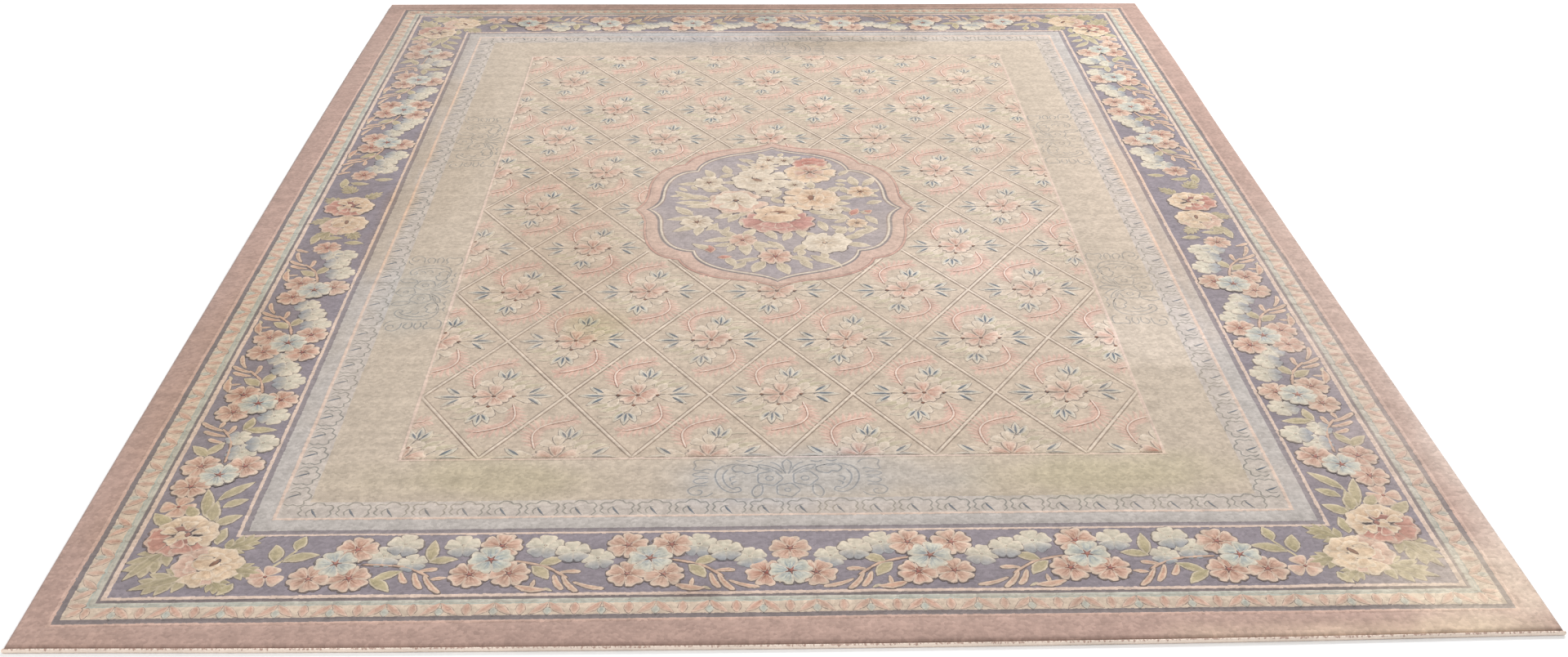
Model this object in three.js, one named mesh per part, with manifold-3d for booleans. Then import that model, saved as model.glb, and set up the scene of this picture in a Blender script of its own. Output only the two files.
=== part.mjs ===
// A carved wool rug lying flat: one knotted pile slab, a bound end at the front and at the back,
// and an overcast cord along each side. Millimetres, +Z up, the long way along Y, with the
// origin in the middle of the underside. The front end is the one at -Y.
import * as THREE from 'three';
import { mergeVertices } from 'three/addons/utils/BufferGeometryUtils.js';
import Module from 'manifold-3d';

const wasm = await Module();
wasm.setup();

// Driving sizes
const WIDTH = 2743;
const LENGTH = 3658;
const PILE_HEIGHT = 14;
const PILE_SHOULDER = { drop: 4, reach: 5 };
const CORNER_RADIUS = 7;
const EDGE_STEPS = 16;
const CORNER_STEPS = 3;
const CUT_CLEARANCE = 2;

// The strips sewn along the edges, and the gap that parts them from the pile
const SEWN_GAP = 0.3;
const BINDING = { width: 7, height: 9.5, round: 2.4 };
const SIDE_CORD = { width: 4, height: 7, round: 1.6 };
const ROUNDING_STEPS = 2;

// How far each worn edge stands out past the straight rectangle, row by row along it:
// the front and the back from left to right, the two sides from front to back.
const EDGE_WANDER = [
  { front: -3, back: 10, left: -3, right: -3 },
  { front: 4, back: 9, left: 2, right: -3 },
  { front: 8, back: 5, left: 5, right: -2 },
  { front: 10, back: 2, left: 8, right: 0 },
  { front: 9, back: 0, left: 10, right: 3 },
  { front: 5, back: 0, left: 9, right: 10 },
  { front: -2, back: -2, left: 4, right: 8 },
];

// Lines carved between the bands, all the way round, by how far in from the edge each one lies
const BAND_LINE_WIDTH = 5;
const BAND_LINE_DEPTH = 2;
const BAND_LINES = [
  { between: 'plain outer band and guard stripe', inset: 60 },
  { between: 'guard stripe and its scalloped edging', inset: 102 },
  { between: 'guard stripe and main border', inset: 127 },
  { between: 'main border and pale band', inset: 327 },
  { between: 'pale band and wave-leaf band', inset: 375 },
  { between: 'wave-leaf band and plain field', inset: 434 },
  { between: 'plain field and lattice panel', inset: 581 },
];

// The lattice panel: equal diamonds that fill it exactly
const PANEL_INSET = 585;
const DIAMONDS = { across: 5, along: 5 };
const LATTICE_LINE = { width: 7, depth: 1.6 };

// The medallion's lobed outlines, one quarter each, from the point at its end to the point at its
// side. A hollow curve leads off each point, and two full lobes meet in a notch between them.
const MEDALLION_CENTRE = { x: 3, y: -8 };
const MEDALLION_LINE = { width: 6, depth: 2 };
const MEDALLION_STEPS = 5;
const MEDALLION_OUTLINES = [
  {
    name: 'ground',
    end: [0, -430],
    endHollow: [22, -405],
    endLobe: [75, -389],
    endBulge: [[160, -364], [205, -322]],
    notch: [212, -260],
    sideBulge: [[275, -254], [303, -187]],
    sideLobe: [303, -90],
    sideHollow: [303, -32],
    side: [338, 0],
  },
  {
    name: 'band',
    end: [0, -478],
    endHollow: [25, -447],
    endLobe: [85, -432],
    endBulge: [[180, -418], [235, -375]],
    notch: [252, -312],
    sideBulge: [[320, -300], [350, -220]],
    sideLobe: [350, -105],
    sideHollow: [352, -40],
    side: [380, 0],
  },
];

// Carved outlines of the flower groups: how many lobes, how large, and where. A group is
// repeated on the opposite side and, where it isn't on the middle line, at the other end too.
const GROUP_LINE = { width: 5, depth: 1.6 };
const LOBE_STEPS = 3;
const LOBE_DEPTH = 0.12;
const BORDER_MIDDLE_INSET = 226;
const FLOWER_GROUPS = [
  { name: 'end middle bunch', along: 'end', at: 0, radius: 74, lobes: 5 },
  { name: 'end inner bunch', along: 'end', at: 257, radius: 80, lobes: 6 },
  { name: 'end outer bunch', along: 'end', at: 550, radius: 78, lobes: 6 },
  { name: 'end last bunch', along: 'end', at: 840, radius: 76, lobes: 5 },
  { name: 'corner peonies', along: 'end', at: 1112, radius: 88, lobes: 7 },
  { name: 'side last bunch', along: 'side', at: 1300, radius: 76, lobes: 5 },
  { name: 'side outer bunch', along: 'side', at: 1025, radius: 78, lobes: 6 },
  { name: 'side inner bunch', along: 'side', at: 752, radius: 80, lobes: 6 },
  { name: 'side near bunch', along: 'side', at: 478, radius: 74, lobes: 5 },
  { name: 'side middle peonies', along: 'side', at: 0, radius: 86, lobes: 7 },
];

// Colours and finishes
const wool = (color) => new THREE.MeshStandardMaterial({ color, roughness: 0.95, metalness: 0 });
const PILE_WOOL = wool(0xc3b2a2);
const CREAM_COTTON = wool(0xe6d8c8);
const CORD_WOOL = wool(0xc9bcb6);

// The outline

const halfWidth = WIDTH / 2;
const halfLength = LENGTH / 2;

// Each side's wander as a smooth curve along it, from 0 to 1
function wanderCurve(side) {
  const rows = EDGE_WANDER.map((row, index) => new THREE.Vector2(index, row[side]));
  return new THREE.SplineCurve(rows);
}

const WANDER = {
  front: wanderCurve('front'),
  back: wanderCurve('back'),
  left: wanderCurve('left'),
  right: wanderCurve('right'),
};

// A point a share of the way along one side, standing a given distance outside the pile
function edgePoint(side, share, outside) {
  const out = WANDER[side].getPoint(share).y + outside;
  const x = THREE.MathUtils.lerp(-halfWidth, halfWidth, share);
  const y = THREE.MathUtils.lerp(-halfLength, halfLength, share);
  const places = {
    front: [x, -halfLength - out],
    back: [x, halfLength + out],
    left: [-halfWidth - out, y],
    right: [halfWidth + out, y],
  };
  return new THREE.Vector2(...places[side]);
}

// The corner where an end meets a side
function cornerPoint(end, side, outside) {
  const endShare = side === 'left' ? 0 : 1;
  const sideShare = end === 'front' ? 0 : 1;
  return new THREE.Vector2(
    edgePoint(side, sideShare, outside).x,
    edgePoint(end, endShare, outside).y,
  );
}

// The points along one side between its two corners
function edgeRun(side, outside) {
  const points = [];
  for (let step = 1; step < EDGE_STEPS; step += 1) {
    points.push(edgePoint(side, step / EDGE_STEPS, outside));
  }
  return points;
}

// A corner rounded off between the point before it and the point after it
function roundedCorner(corner, before, after, radius) {
  const start = corner.clone().add(before.clone().sub(corner).setLength(radius));
  const end = corner.clone().add(after.clone().sub(corner).setLength(radius));
  return new THREE.QuadraticBezierCurve(start, corner, end).getPoints(CORNER_STEPS);
}

// The whole outline of the pile, once round from the front left corner
function pileOutline() {
  const runs = [
    { corner: cornerPoint('front', 'left', 0), run: edgeRun('front', 0) },
    { corner: cornerPoint('front', 'right', 0), run: edgeRun('right', 0) },
    { corner: cornerPoint('back', 'right', 0), run: edgeRun('back', 0).reverse() },
    { corner: cornerPoint('back', 'left', 0), run: edgeRun('left', 0).reverse() },
  ];
  const points = [];
  runs.forEach(({ corner, run }, index) => {
    const before = runs[(index + runs.length - 1) % runs.length].run.at(-1);
    points.push(...roundedCorner(corner, before, run[0], CORNER_RADIUS), ...run);
  });
  return points;
}

// Solids and cuts

function toManifold(geometry) {
  const bare = geometry.clone();
  bare.deleteAttribute('normal');
  bare.deleteAttribute('uv');
  const merged = mergeVertices(bare);
  return new wasm.Manifold(new wasm.Mesh({
    numProp: 3,
    vertProperties: new Float32Array(merged.attributes.position.array),
    triVerts: new Uint32Array(merged.index.array),
  }));
}

function toGeometry(manifold) {
  const mesh = manifold.getMesh();
  const geometry = new THREE.BufferGeometry();
  geometry.setAttribute('position', new THREE.BufferAttribute(mesh.vertProperties, mesh.numProp));
  geometry.setIndex(new THREE.BufferAttribute(mesh.triVerts, 1));
  geometry.computeVertexNormals();
  return geometry;
}

// A flat shape as a solid between two heights
function plate(points, bottom, top, holes = []) {
  const shape = new THREE.Shape(points);
  holes.forEach((hole) => shape.holes.push(new THREE.Path(hole)));
  const geometry = new THREE.ExtrudeGeometry(shape, { depth: top - bottom, bevelEnabled: false });
  return geometry.translate(0, 0, bottom);
}

// A cutter that leaves a channel of one width and depth between two closed outlines
function channelCutter(outer, inner, depth) {
  return toManifold(plate(outer, PILE_HEIGHT - depth, PILE_HEIGHT + CUT_CLEARANCE, [inner]));
}

function rectangle(halfX, halfY) {
  return [
    new THREE.Vector2(-halfX, -halfY),
    new THREE.Vector2(halfX, -halfY),
    new THREE.Vector2(halfX, halfY),
    new THREE.Vector2(-halfX, halfY),
  ];
}

// The line between two bands, a rectangle all the way round
function bandLineCutter({ inset }) {
  const reach = BAND_LINE_WIDTH / 2;
  const outer = rectangle(halfWidth - inset + reach, halfLength - inset + reach);
  const inner = rectangle(halfWidth - inset - reach, halfLength - inset - reach);
  return channelCutter(outer, inner, BAND_LINE_DEPTH);
}

// One straight lattice line between two points of the panel's edge
function latticeLineCutter(from, to) {
  const across = to.clone().sub(from).rotateAround(new THREE.Vector2(), Math.PI / 2);
  across.setLength(LATTICE_LINE.width / 2);
  const strip = [
    from.clone().sub(across),
    to.clone().sub(across),
    to.clone().add(across),
    from.clone().add(across),
  ];
  const bottom = PILE_HEIGHT - LATTICE_LINE.depth;
  return toManifold(plate(strip, bottom, PILE_HEIGHT + CUT_CLEARANCE));
}

// All the lattice lines. Counted in diamonds from the middle, a line joins the places where
// across plus along, or across less along, has the same value.
function latticeCutters() {
  const halfAcross = DIAMONDS.across / 2;
  const halfAlong = DIAMONDS.along / 2;
  const cell = {
    x: 2 * (halfWidth - PANEL_INSET) / DIAMONDS.across,
    y: 2 * (halfLength - PANEL_INSET) / DIAMONDS.along,
  };
  const cutters = [];
  for (let sum = 0.5 - halfAcross - halfAlong; sum < halfAcross + halfAlong; sum += 1) {
    const firstAcross = Math.max(-halfAcross, sum - halfAlong);
    const lastAcross = Math.min(halfAcross, sum + halfAlong);
    [-1, 1].forEach((lean) => {
      const place = (across) => new THREE.Vector2(across * cell.x, lean * (sum - across) * cell.y);
      cutters.push(latticeLineCutter(place(firstAcross), place(lastAcross)));
    });
  }
  return cutters;
}

// A medallion outline, grown or shrunk by a distance, from its quarter
function medallionOutline(quarter, grow) {
  const at = ([x, y]) => {
    const length = Math.hypot(x, y);
    return new THREE.Vector2(x, y).multiplyScalar((length + grow) / length);
  };
  const path = new THREE.Path();
  path.moveTo(...at(quarter.end));
  path.quadraticCurveTo(...at(quarter.endHollow), ...at(quarter.endLobe));
  path.bezierCurveTo(...quarter.endBulge.flatMap((p) => [...at(p)]), ...at(quarter.notch));
  path.bezierCurveTo(...quarter.sideBulge.flatMap((p) => [...at(p)]), ...at(quarter.sideLobe));
  path.quadraticCurveTo(...at(quarter.sideHollow), ...at(quarter.side));
  const points = path.getPoints(MEDALLION_STEPS);
  const mirrored = (signX, signY) => points.map(({ x, y }) => new THREE.Vector2(x * signX, y * signY));
  const round = [
    ...mirrored(1, 1).slice(0, -1),
    ...mirrored(1, -1).reverse().slice(0, -1),
    ...mirrored(-1, -1).slice(0, -1),
    ...mirrored(-1, 1).reverse().slice(0, -1),
  ];
  return round.map(({ x, y }) => new THREE.Vector2(x + MEDALLION_CENTRE.x, y + MEDALLION_CENTRE.y));
}

function medallionCutter(quarter) {
  const reach = MEDALLION_LINE.width / 2;
  return channelCutter(
    medallionOutline(quarter, reach),
    medallionOutline(quarter, -reach),
    MEDALLION_LINE.depth,
  );
}

// A lobed closed outline around a flower group
function lobedOutline(centre, radius, lobes) {
  const steps = lobes * LOBE_STEPS;
  return Array.from({ length: steps }, (_, step) => {
    const turn = 2 * Math.PI * step / steps;
    const swell = THREE.MathUtils.lerp(
      1 - LOBE_DEPTH,
      1 + LOBE_DEPTH,
      Math.abs(Math.sin(lobes * turn / 2)),
    );
    return new THREE.Vector2(
      centre.x + radius * swell * Math.cos(turn),
      centre.y + radius * swell * Math.sin(turn),
    );
  });
}

// Every place of a flower group, mirrored about the middle lines
function groupCentres({ along, at }) {
  const endY = halfLength - BORDER_MIDDLE_INSET;
  const sideX = halfWidth - BORDER_MIDDLE_INSET;
  const signs = at === 0 ? [1] : [-1, 1];
  return [-1, 1].flatMap((side) => signs.map((sign) => (
    along === 'end'
      ? new THREE.Vector2(sign * at, side * endY)
      : new THREE.Vector2(side * sideX, sign * at)
  )));
}

function groupCutters(group) {
  const reach = GROUP_LINE.width / 2;
  return groupCentres(group).map((centre) => channelCutter(
    lobedOutline(centre, group.radius + reach, group.lobes),
    lobedOutline(centre, group.radius - reach, group.lobes),
    GROUP_LINE.depth,
  ));
}

// The pieces

// The pile and its foundation: a rounded shoulder above, a flat underside, carved lines on top
function rugPile() {
  const bevelled = new THREE.ExtrudeGeometry(new THREE.Shape(pileOutline()), {
    depth: PILE_HEIGHT,
    bevelThickness: PILE_SHOULDER.drop,
    bevelSize: PILE_SHOULDER.reach,
    bevelOffset: -PILE_SHOULDER.reach,
    bevelSegments: ROUNDING_STEPS,
  });
  bevelled.translate(0, 0, -PILE_SHOULDER.drop);
  const keep = toManifold(plate(rectangle(WIDTH, LENGTH), 0, 2 * PILE_HEIGHT));
  const slab = toManifold(bevelled).intersect(keep);
  const band = MEDALLION_OUTLINES.find(({ name }) => name === 'band');
  const medallion = toManifold(plate(medallionOutline(band, 0), 0, 2 * PILE_HEIGHT));
  const lattice = wasm.Manifold.union(latticeCutters()).subtract(medallion);
  const cuts = [
    lattice,
    ...BAND_LINES.map(bandLineCutter),
    ...MEDALLION_OUTLINES.map(medallionCutter),
    ...FLOWER_GROUPS.flatMap(groupCutters),
  ];
  return toGeometry(slab.subtract(wasm.Manifold.union(cuts)));
}

// A strip with rounded edges that lies on the ground along one side, from corner to corner
function edgeStrip(side, { width, height, round }, overrun) {
  const near = edgeRun(side, SEWN_GAP);
  const far = edgeRun(side, SEWN_GAP + width);
  const alongX = side === 'front' || side === 'back';
  const corners = (outside) => {
    const [first, last] = alongX
      ? [cornerPoint(side, 'left', outside), cornerPoint(side, 'right', outside)]
      : [cornerPoint('front', side, outside), cornerPoint('back', side, outside)];
    const shift = overrun - outside;
    const along = alongX ? new THREE.Vector2(shift, 0) : new THREE.Vector2(0, shift);
    return [first.sub(along), last.add(along)];
  };
  const [nearFirst, nearLast] = corners(SEWN_GAP);
  const [farFirst, farLast] = corners(SEWN_GAP + width);
  const strip = [nearFirst, ...near, nearLast, farLast, ...far.reverse(), farFirst];
  const geometry = new THREE.ExtrudeGeometry(new THREE.Shape(strip), {
    depth: height - 2 * round,
    bevelThickness: round,
    bevelSize: round,
    bevelOffset: -round,
    bevelSegments: ROUNDING_STEPS,
  });
  return geometry.translate(0, 0, round);
}

const rug = new THREE.Group();

function addPiece(name, geometry, material) {
  const piece = new THREE.Mesh(geometry, material);
  piece.name = name;
  rug.add(piece);
}

addPiece('rug_pile', rugPile(), PILE_WOOL);

// Each bound end runs past the pile over the end of the side cords
const endOverrun = SEWN_GAP + SIDE_CORD.width;
addPiece('front_end_binding', edgeStrip('front', BINDING, endOverrun), CREAM_COTTON);
addPiece('back_end_binding', edgeStrip('back', BINDING, endOverrun), CREAM_COTTON);
addPiece('left_side_cord', edgeStrip('left', SIDE_CORD, 0), CORD_WOOL);
addPiece('right_side_cord', edgeStrip('right', SIDE_CORD, 0), CORD_WOOL);

// The origin in the middle of the whole outline
const size = new THREE.Box3().setFromObject(rug);
const middle = size.getCenter(new THREE.Vector3());
rug.position.set(-middle.x, -middle.y, -size.min.z);

export default rug;
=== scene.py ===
"""Carved wool pile rug with a blossom border, a diamond lattice panel and a bouquet medallion.

Lengths are in millimetres until a piece is finished, and then in metres.
The rug lies on its back at z = 0, with +Y from the front end to the back end.
"""
import math

import bmesh
import bpy
from mathutils import Matrix, Vector


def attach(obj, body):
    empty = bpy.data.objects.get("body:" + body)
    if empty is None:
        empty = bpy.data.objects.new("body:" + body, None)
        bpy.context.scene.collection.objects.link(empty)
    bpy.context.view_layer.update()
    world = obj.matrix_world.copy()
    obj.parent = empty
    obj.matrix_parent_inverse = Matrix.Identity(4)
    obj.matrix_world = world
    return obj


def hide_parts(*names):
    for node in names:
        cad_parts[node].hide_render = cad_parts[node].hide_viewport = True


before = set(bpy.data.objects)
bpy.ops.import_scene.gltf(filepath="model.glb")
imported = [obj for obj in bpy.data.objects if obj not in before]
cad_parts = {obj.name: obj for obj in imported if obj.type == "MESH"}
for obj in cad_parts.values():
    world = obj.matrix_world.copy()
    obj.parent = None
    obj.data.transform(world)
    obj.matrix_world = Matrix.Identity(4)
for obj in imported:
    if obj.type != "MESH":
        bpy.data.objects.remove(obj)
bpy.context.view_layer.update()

# Sizes of the rug
MM = 0.001
WIDTH = 2743
LENGTH = 3658
HALF_X = WIDTH / 2
HALF_Y = LENGTH / 2
PILE = 13.0
SIDE_WALL = 9.0
PANEL_X = 787
PANEL_Y = 1243

# How far each edge stands out beyond the straight rectangle, at seven places along it
EDGE_WANDER = {
    "front": (-3, 4, 8, 10, 9, 5, -2),
    "back": (10, 9, 5, 2, 0, 0, -2),
    "left": (-3, 2, 5, 8, 10, 9, 4),
    "right": (-3, -3, -2, 0, 3, 10, 8),
}
WANDER_FADE = 54

# Slow rise and fall of the pile: its height, the spacing of its long and short waves, how much the
# short ones add, and where the long ones start
SWELL = 0.45
LONG_WAVES = (290, 350, 900)
SHORT_WAVES = (410, 170)
SHORT_SHARE = 0.6
LONG_START = 0.8

# Cross section of the pile from the edge inwards: inset from the edge, height
SECTION = (
    (1.2, 11.2), (3.2, 12.4), (6.5, PILE),
    (51, PILE), (53, 12.1), (55, 13.3), (59, 13.3), (60.5, 12.1), (65, 12.5), (70, 12.1), (72, PILE),
    (114.5, PILE), (116, 12.2), (120, 12.6), (124, 12.2), (126, 13.4), (132.5, 13.4), (135, 12.5),
    (138, PILE), (315, PILE), (317, 12.5), (319, 13.4), (324, 13.4), (326, 12.2), (330, 12.6),
    (334, 12.2), (336, PILE), (369, PILE), (371, 12.5), (373, 13.3), (378, 13.3), (380, 12.4),
    (382.5, PILE), (430, PILE), (433, 12.3), (436, PILE), (574, PILE), (576, 12.5), (578, 13.5),
    (583.5, 13.5), (585.5, 12.4), (588, PILE),
)
ROWS_ACROSS = 92
ROWS_ALONG = 122
# An edge longer than this runs right along or across the rug
LONG_EDGE = 500

# Dyed wool, read off the faded pile: name and sRGB hex
WOOL = {
    "dusty rose": "b89a8e",
    "line cream": "dbc3b3",
    "line rose": "cfae9f",
    "line slate": "877c7b",
    "guard beige": "d5c1ad",
    "guard teal": "b3b5aa",
    "slate lavender": "91878d",
    "border slate": "958b8d",
    "pale blue grey": "beb6b0",
    "wave grey": "c6bab0",
    "field": "c6b6a4",
    "panel": "cab8a5",
}

# Where each plain band starts, measured in from the edge
BANDS = (
    (0, "dusty rose"), (53.5, "line rose"), (60, "line slate"), (71, "guard beige"),
    (105, "guard teal"), (116, "line slate"), (125, "line cream"), (134, "slate lavender"),
    (318, "line cream"), (325, "border slate"), (335.5, "pale blue grey"), (371.5, "line cream"),
    (379.5, "wave grey"), (433.5, "field"), (577, "line cream"), (584.8, "panel"),
)


def linear(hex_colour):
    """An sRGB hex colour as linear red, green, blue, alpha."""
    parts = [int(hex_colour[i:i + 2], 16) / 255 for i in (0, 2, 4)]
    return [c / 12.92 if c <= 0.04045 else ((c + 0.055) / 1.055) ** 2.4 for c in parts] + [1.0]


# The camera, at the photograph's angle
CAMERA_AT = (-0.0748, -4.1149, 1.870)
TILT_DOWN = 28.47
TURN = -1.47
ROLL = 0.267
LENS = 37.89
SENSOR = 36

camera = bpy.data.objects.new("camera", bpy.data.cameras.new("camera"))
bpy.context.collection.objects.link(camera)
bpy.context.scene.camera = camera
camera.data.sensor_width = SENSOR
camera.data.lens = LENS
camera.data.clip_end = 60
camera.matrix_world = (
    Matrix.Translation(CAMERA_AT)
    @ Matrix.Rotation(math.radians(TURN), 4, "Z")
    @ Matrix.Rotation(math.radians(90 - TILT_DOWN), 4, "X")
    @ Matrix.Rotation(math.radians(ROLL), 4, "Z")
)
bpy.context.scene.view_settings.view_transform = "Standard"


# Node materials
NODE_STEP = 200


def add(tree, kind, *inputs, named=(), **settings):
    """Adds a node with its settings, and what goes into its sockets, in their order or by their names.

    That is a value, the socket that it comes from, or a node, which stands for its first output.
    """
    node = tree.nodes.new(kind)
    node.location.x = NODE_STEP * len(tree.nodes)
    for name, value in settings.items():
        setattr(node, name, value)
    for name, value in (*enumerate(inputs), *dict(named).items()):
        if isinstance(value, bpy.types.Node):
            value = next(socket for socket in value.outputs if socket.enabled)
        if isinstance(value, bpy.types.NodeSocket):
            tree.links.new(value, node.inputs[name])
        else:
            node.inputs[name].default_value = value
    return node


def blank_material(name):
    """A new material, its empty node tree and the piece's own coordinates in metres."""
    material = bpy.data.materials.new(name)
    material.use_nodes = True
    tree = material.node_tree
    tree.nodes.clear()
    return material, tree, add(tree, "ShaderNodeTexCoord").outputs["Object"]


# A knot is 3.4 mm. The knots are drawn 6.2 mm wide, because 3.4 mm is under two pixels here.
KNOT = 0.0062
# How far the knots and a slow drift shift the joins of the plain bands
KNOT_SHIFT = 0.0018
DRIFT_SHIFT = 0.005
# The same for the painted highlight and the painted shade at a petal's edge, in millimetres
RIM_SHIFT = 1.1
RAMP_REACH = 0.6
MIDDLE_GREY = (0.5, 0.5, 0.5)
# Light that the tufts keep: the pile looks darker than the flat dye
PILE_DEPTH = 0.77
# Reach of a tint through the thickness of the pile, so that height makes no difference
FULL_DEPTH = 1e3

# A pale painted highlight along a petal's edge, and the painted shade in the cut round it
RIM_HIGHLIGHT = "e2d2be"
CUT_SHADE = "5f5557"

# Soft stains and faded places, and painted light and shade: middle x, y, reach x, y in mm, the wool that
# it lies on, the hex colour that this wool turns to, strength. The other wools there shift by as much, so
# the pattern stays clear.
# Where no wool is named, every wool there turns to the one colour, and the pattern grows pale.
# Those that darken the left side and lighten the right side are painted shade and painted light, as if
# the light fell from the right.
TINTS = (
    (60, -1310, 430, 170, "field", "b8b6b5", 0.62),
    (-620, -1320, 360, 130, "field", "b9ad8c", 0.50),
    (640, -1320, 330, 130, "field", "bbb08e", 0.55),
    (-930, 350, 170, 900, "field", "baa893", 0.45),
    (-1020, 250, 60, 1500, "pale blue grey", "bba893", 0.70),
    (1018, 100, 50, 1300, "pale blue grey", "c4ad98", 0.62),
    (900, -720, 220, 330, "field", "e0d0c0", 0.60),
    (-1150, -200, 130, 1500, "line cream", "ba9883", 0.28),
    # Painted shade on the left of the panel, painted light on its right
    (-560, -150, 330, 1000, "panel", "b39b84", 0.38),
    (600, -150, 300, 1000, "panel", "d5c3b2", 0.45),
    (-900, -520, 160, 260, "field", "b3b3ad", 0.38),
    (960, 150, 240, 900, "field", "d2c0ae", 0.55),
    (-300, 1440, 500, 130, "field", "b5b1a9", 0.40),
    (250, 1400, 420, 150, "field", "ae9c80", 0.50),
    (0, 1380, 800, 170, "field", "ac9d95", 0.48),
    (-440, -670, 150, 120, "panel", "b9a67c", 0.42),
    # Painted shade down the left border; painted light down the right border and over the front right
    # corner
    (-1250, -1000, 190, 1100, "dusty rose", "a2826c", 0.38),
    (1420, -900, 420, 1500, None, "dcc7ba", 0.36),
    (1240, -1700, 330, 230, None, "dfcab4", 0.34),
    (1250, -1720, 440, 260, "dusty rose", "d2b3a3", 0.55),
    (1050, -1850, 620, 92, "dusty rose", "e2c6ae", 0.80),
    (1415, -1250, 92, 900, "dusty rose", "dcc2b6", 0.60),
    (1345, -1560, 62, 420, "dusty rose", "d6bbad", 0.62),
    # Darker along the back end
    (0, 1950, 2200, 640, "guard beige", "8e7963", 0.64),
    (-1180, 1300, 300, 600, None, "ab9a8d", 0.28),
    (1200, 1300, 260, 560, "dusty rose", "c3aa9e", 0.35),
    (400, -400, 420, 500, "panel", "d5c3b1", 0.40),
    (-180, -1700, 90, 40, "line cream", "a58b7c", 0.50),
)


def wool_pile(name, dye_and_painted_light):
    """Cut wool pile, dyed by hand and washed: matt, fuzzy, a little uneven from knot to knot."""
    material, tree, place = blank_material(name)

    # Knots: small cells that shift the colour edges and vary in shade
    knots = add(tree, "ShaderNodeTexVoronoi", voronoi_dimensions="2D",
                named={"Vector": place, "Scale": 1 / KNOT, "Randomness": 0.7})
    slow = add(tree, "ShaderNodeTexNoise", named={"Vector": place, "Scale": 3.5, "Detail": 3.0},
               noise_dimensions="2D")
    colour = dye_and_painted_light(tree, place, knots, slow)

    # Stains, fades, and painted light and shade, from the table of tints
    for x, y, reach_x, reach_y, wool, turned, strength in TINTS:
        spot = add(tree, "ShaderNodeMapping", named={
            "Vector": place, "Location": (x * MM, y * MM, 0),
            "Scale": (reach_x * MM, reach_y * MM, FULL_DEPTH)}, vector_type="TEXTURE")
        far = add(tree, "ShaderNodeVectorMath", spot, operation="LENGTH")
        ragged = add(tree, "ShaderNodeMath", slow, 0.9, far, operation="MULTIPLY_ADD")
        soft = add(tree, "ShaderNodeMapRange", ragged, 0.55, 1.45, strength, 0.0,
                   interpolation_type="SMOOTHERSTEP")
        target = linear(turned)
        if wool:
            gain = [new / old for new, old in zip(target[:3], linear(WOOL[wool]))]
            target = add(tree, "ShaderNodeVectorMath", colour, gain, operation="MULTIPLY")
        colour = add(tree, "ShaderNodeMix", named={"Factor": soft, "A": colour, "B": target},
                     data_type="RGBA")

    # Weft rows: each dye lot runs right across the rug, so the shade changes in cross streaks
    lots = add(tree, "ShaderNodeMapping", named={"Vector": place, "Scale": (0.7, 22.0, 1.0)})
    streaks = add(tree, "ShaderNodeTexNoise", named={
        "Vector": lots, "Scale": 1.6, "Detail": 5.0, "Roughness": 0.6}, noise_dimensions="2D")
    # Cloudy light and dark where the pile has been brushed one way or the other: painted light and shade
    # of the pile's lay, which also gives the soft bump below
    brushed_lay_and_shade = add(tree, "ShaderNodeTexNoise", named={
        "Vector": place, "Scale": 26.0, "Detail": 4.0, "Roughness": 0.62}, noise_dimensions="2D")
    # Each knot takes the dye a little differently
    cell = add(tree, "ShaderNodeSeparateColor", knots.outputs["Color"])
    # Pattern, its low and high value, the shade at each
    for pattern, low, high, darkest, lightest in (
            (streaks, 0.3, 0.7, 0.93 * PILE_DEPTH, 1.05 * PILE_DEPTH),
            (brushed_lay_and_shade, 0.3, 0.7, 0.90, 1.08),
            (cell, 0.0, 1.0, 0.87, 1.11)):
        shade = add(tree, "ShaderNodeMapRange", pattern, low, high, darkest, lightest)
        colour = add(tree, "ShaderNodeVectorMath", colour, named={"Scale": shade}, operation="SCALE")

    # Tuft ends: a fine bump from the knots and a softer one from the brushing
    fuzz = add(tree, "ShaderNodeTexNoise", named={"Vector": place, "Scale": 420.0, "Detail": 3.0})
    tufts = add(tree, "ShaderNodeMath", fuzz, knots.outputs["Distance"], operation="SUBTRACT")
    fine = add(tree, "ShaderNodeBump", named={"Height": tufts, "Strength": 0.35, "Distance": 0.0012})
    lay = add(tree, "ShaderNodeBump", named={
        "Height": brushed_lay_and_shade, "Strength": 0.35, "Distance": 0.006, "Normal": fine})
    shader = add(tree, "ShaderNodeBsdfPrincipled", named={
        "Base Color": colour, "Roughness": 0.95, "Specular IOR Level": 0.12,
        "Sheen Weight": 0.12, "Sheen Roughness": 0.5, "Normal": lay})
    add(tree, "ShaderNodeOutputMaterial", shader)
    return material


def band_dye(tree, place, knots, slow):
    """Plain bands by how far a point is in from the edge. Knots shift the joins, so they are ragged."""
    for pattern, shift in ((knots, KNOT_SHIFT), (slow, DRIFT_SHIFT)):
        swing = add(tree, "ShaderNodeVectorMath", pattern.outputs["Color"], MIDDLE_GREY,
                    operation="SUBTRACT")
        place = add(tree, "ShaderNodeVectorMath", swing, (shift, shift, 0), place,
                    operation="MULTIPLY_ADD")
    size = add(tree, "ShaderNodeVectorMath", place, operation="ABSOLUTE")
    inset = add(tree, "ShaderNodeVectorMath", (HALF_X * MM, HALF_Y * MM, 0), size,
                operation="SUBTRACT")
    sides = add(tree, "ShaderNodeSeparateXYZ", inset)
    least = add(tree, "ShaderNodeMath", sides.outputs["X"], sides.outputs["Y"], operation="MINIMUM")
    share = add(tree, "ShaderNodeMath", least, RAMP_REACH, operation="DIVIDE", use_clamp=True)
    bands = add(tree, "ShaderNodeValToRGB", share)
    ramp = bands.color_ramp
    ramp.interpolation = "CONSTANT"
    ramp.elements.remove(ramp.elements[0])
    ramp.elements[0].position = 0
    for start, wool in BANDS:
        stop = ramp.elements.new(start * MM / RAMP_REACH) if start else ramp.elements[0]
        stop.color = linear(WOOL[wool])
    return bands


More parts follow.
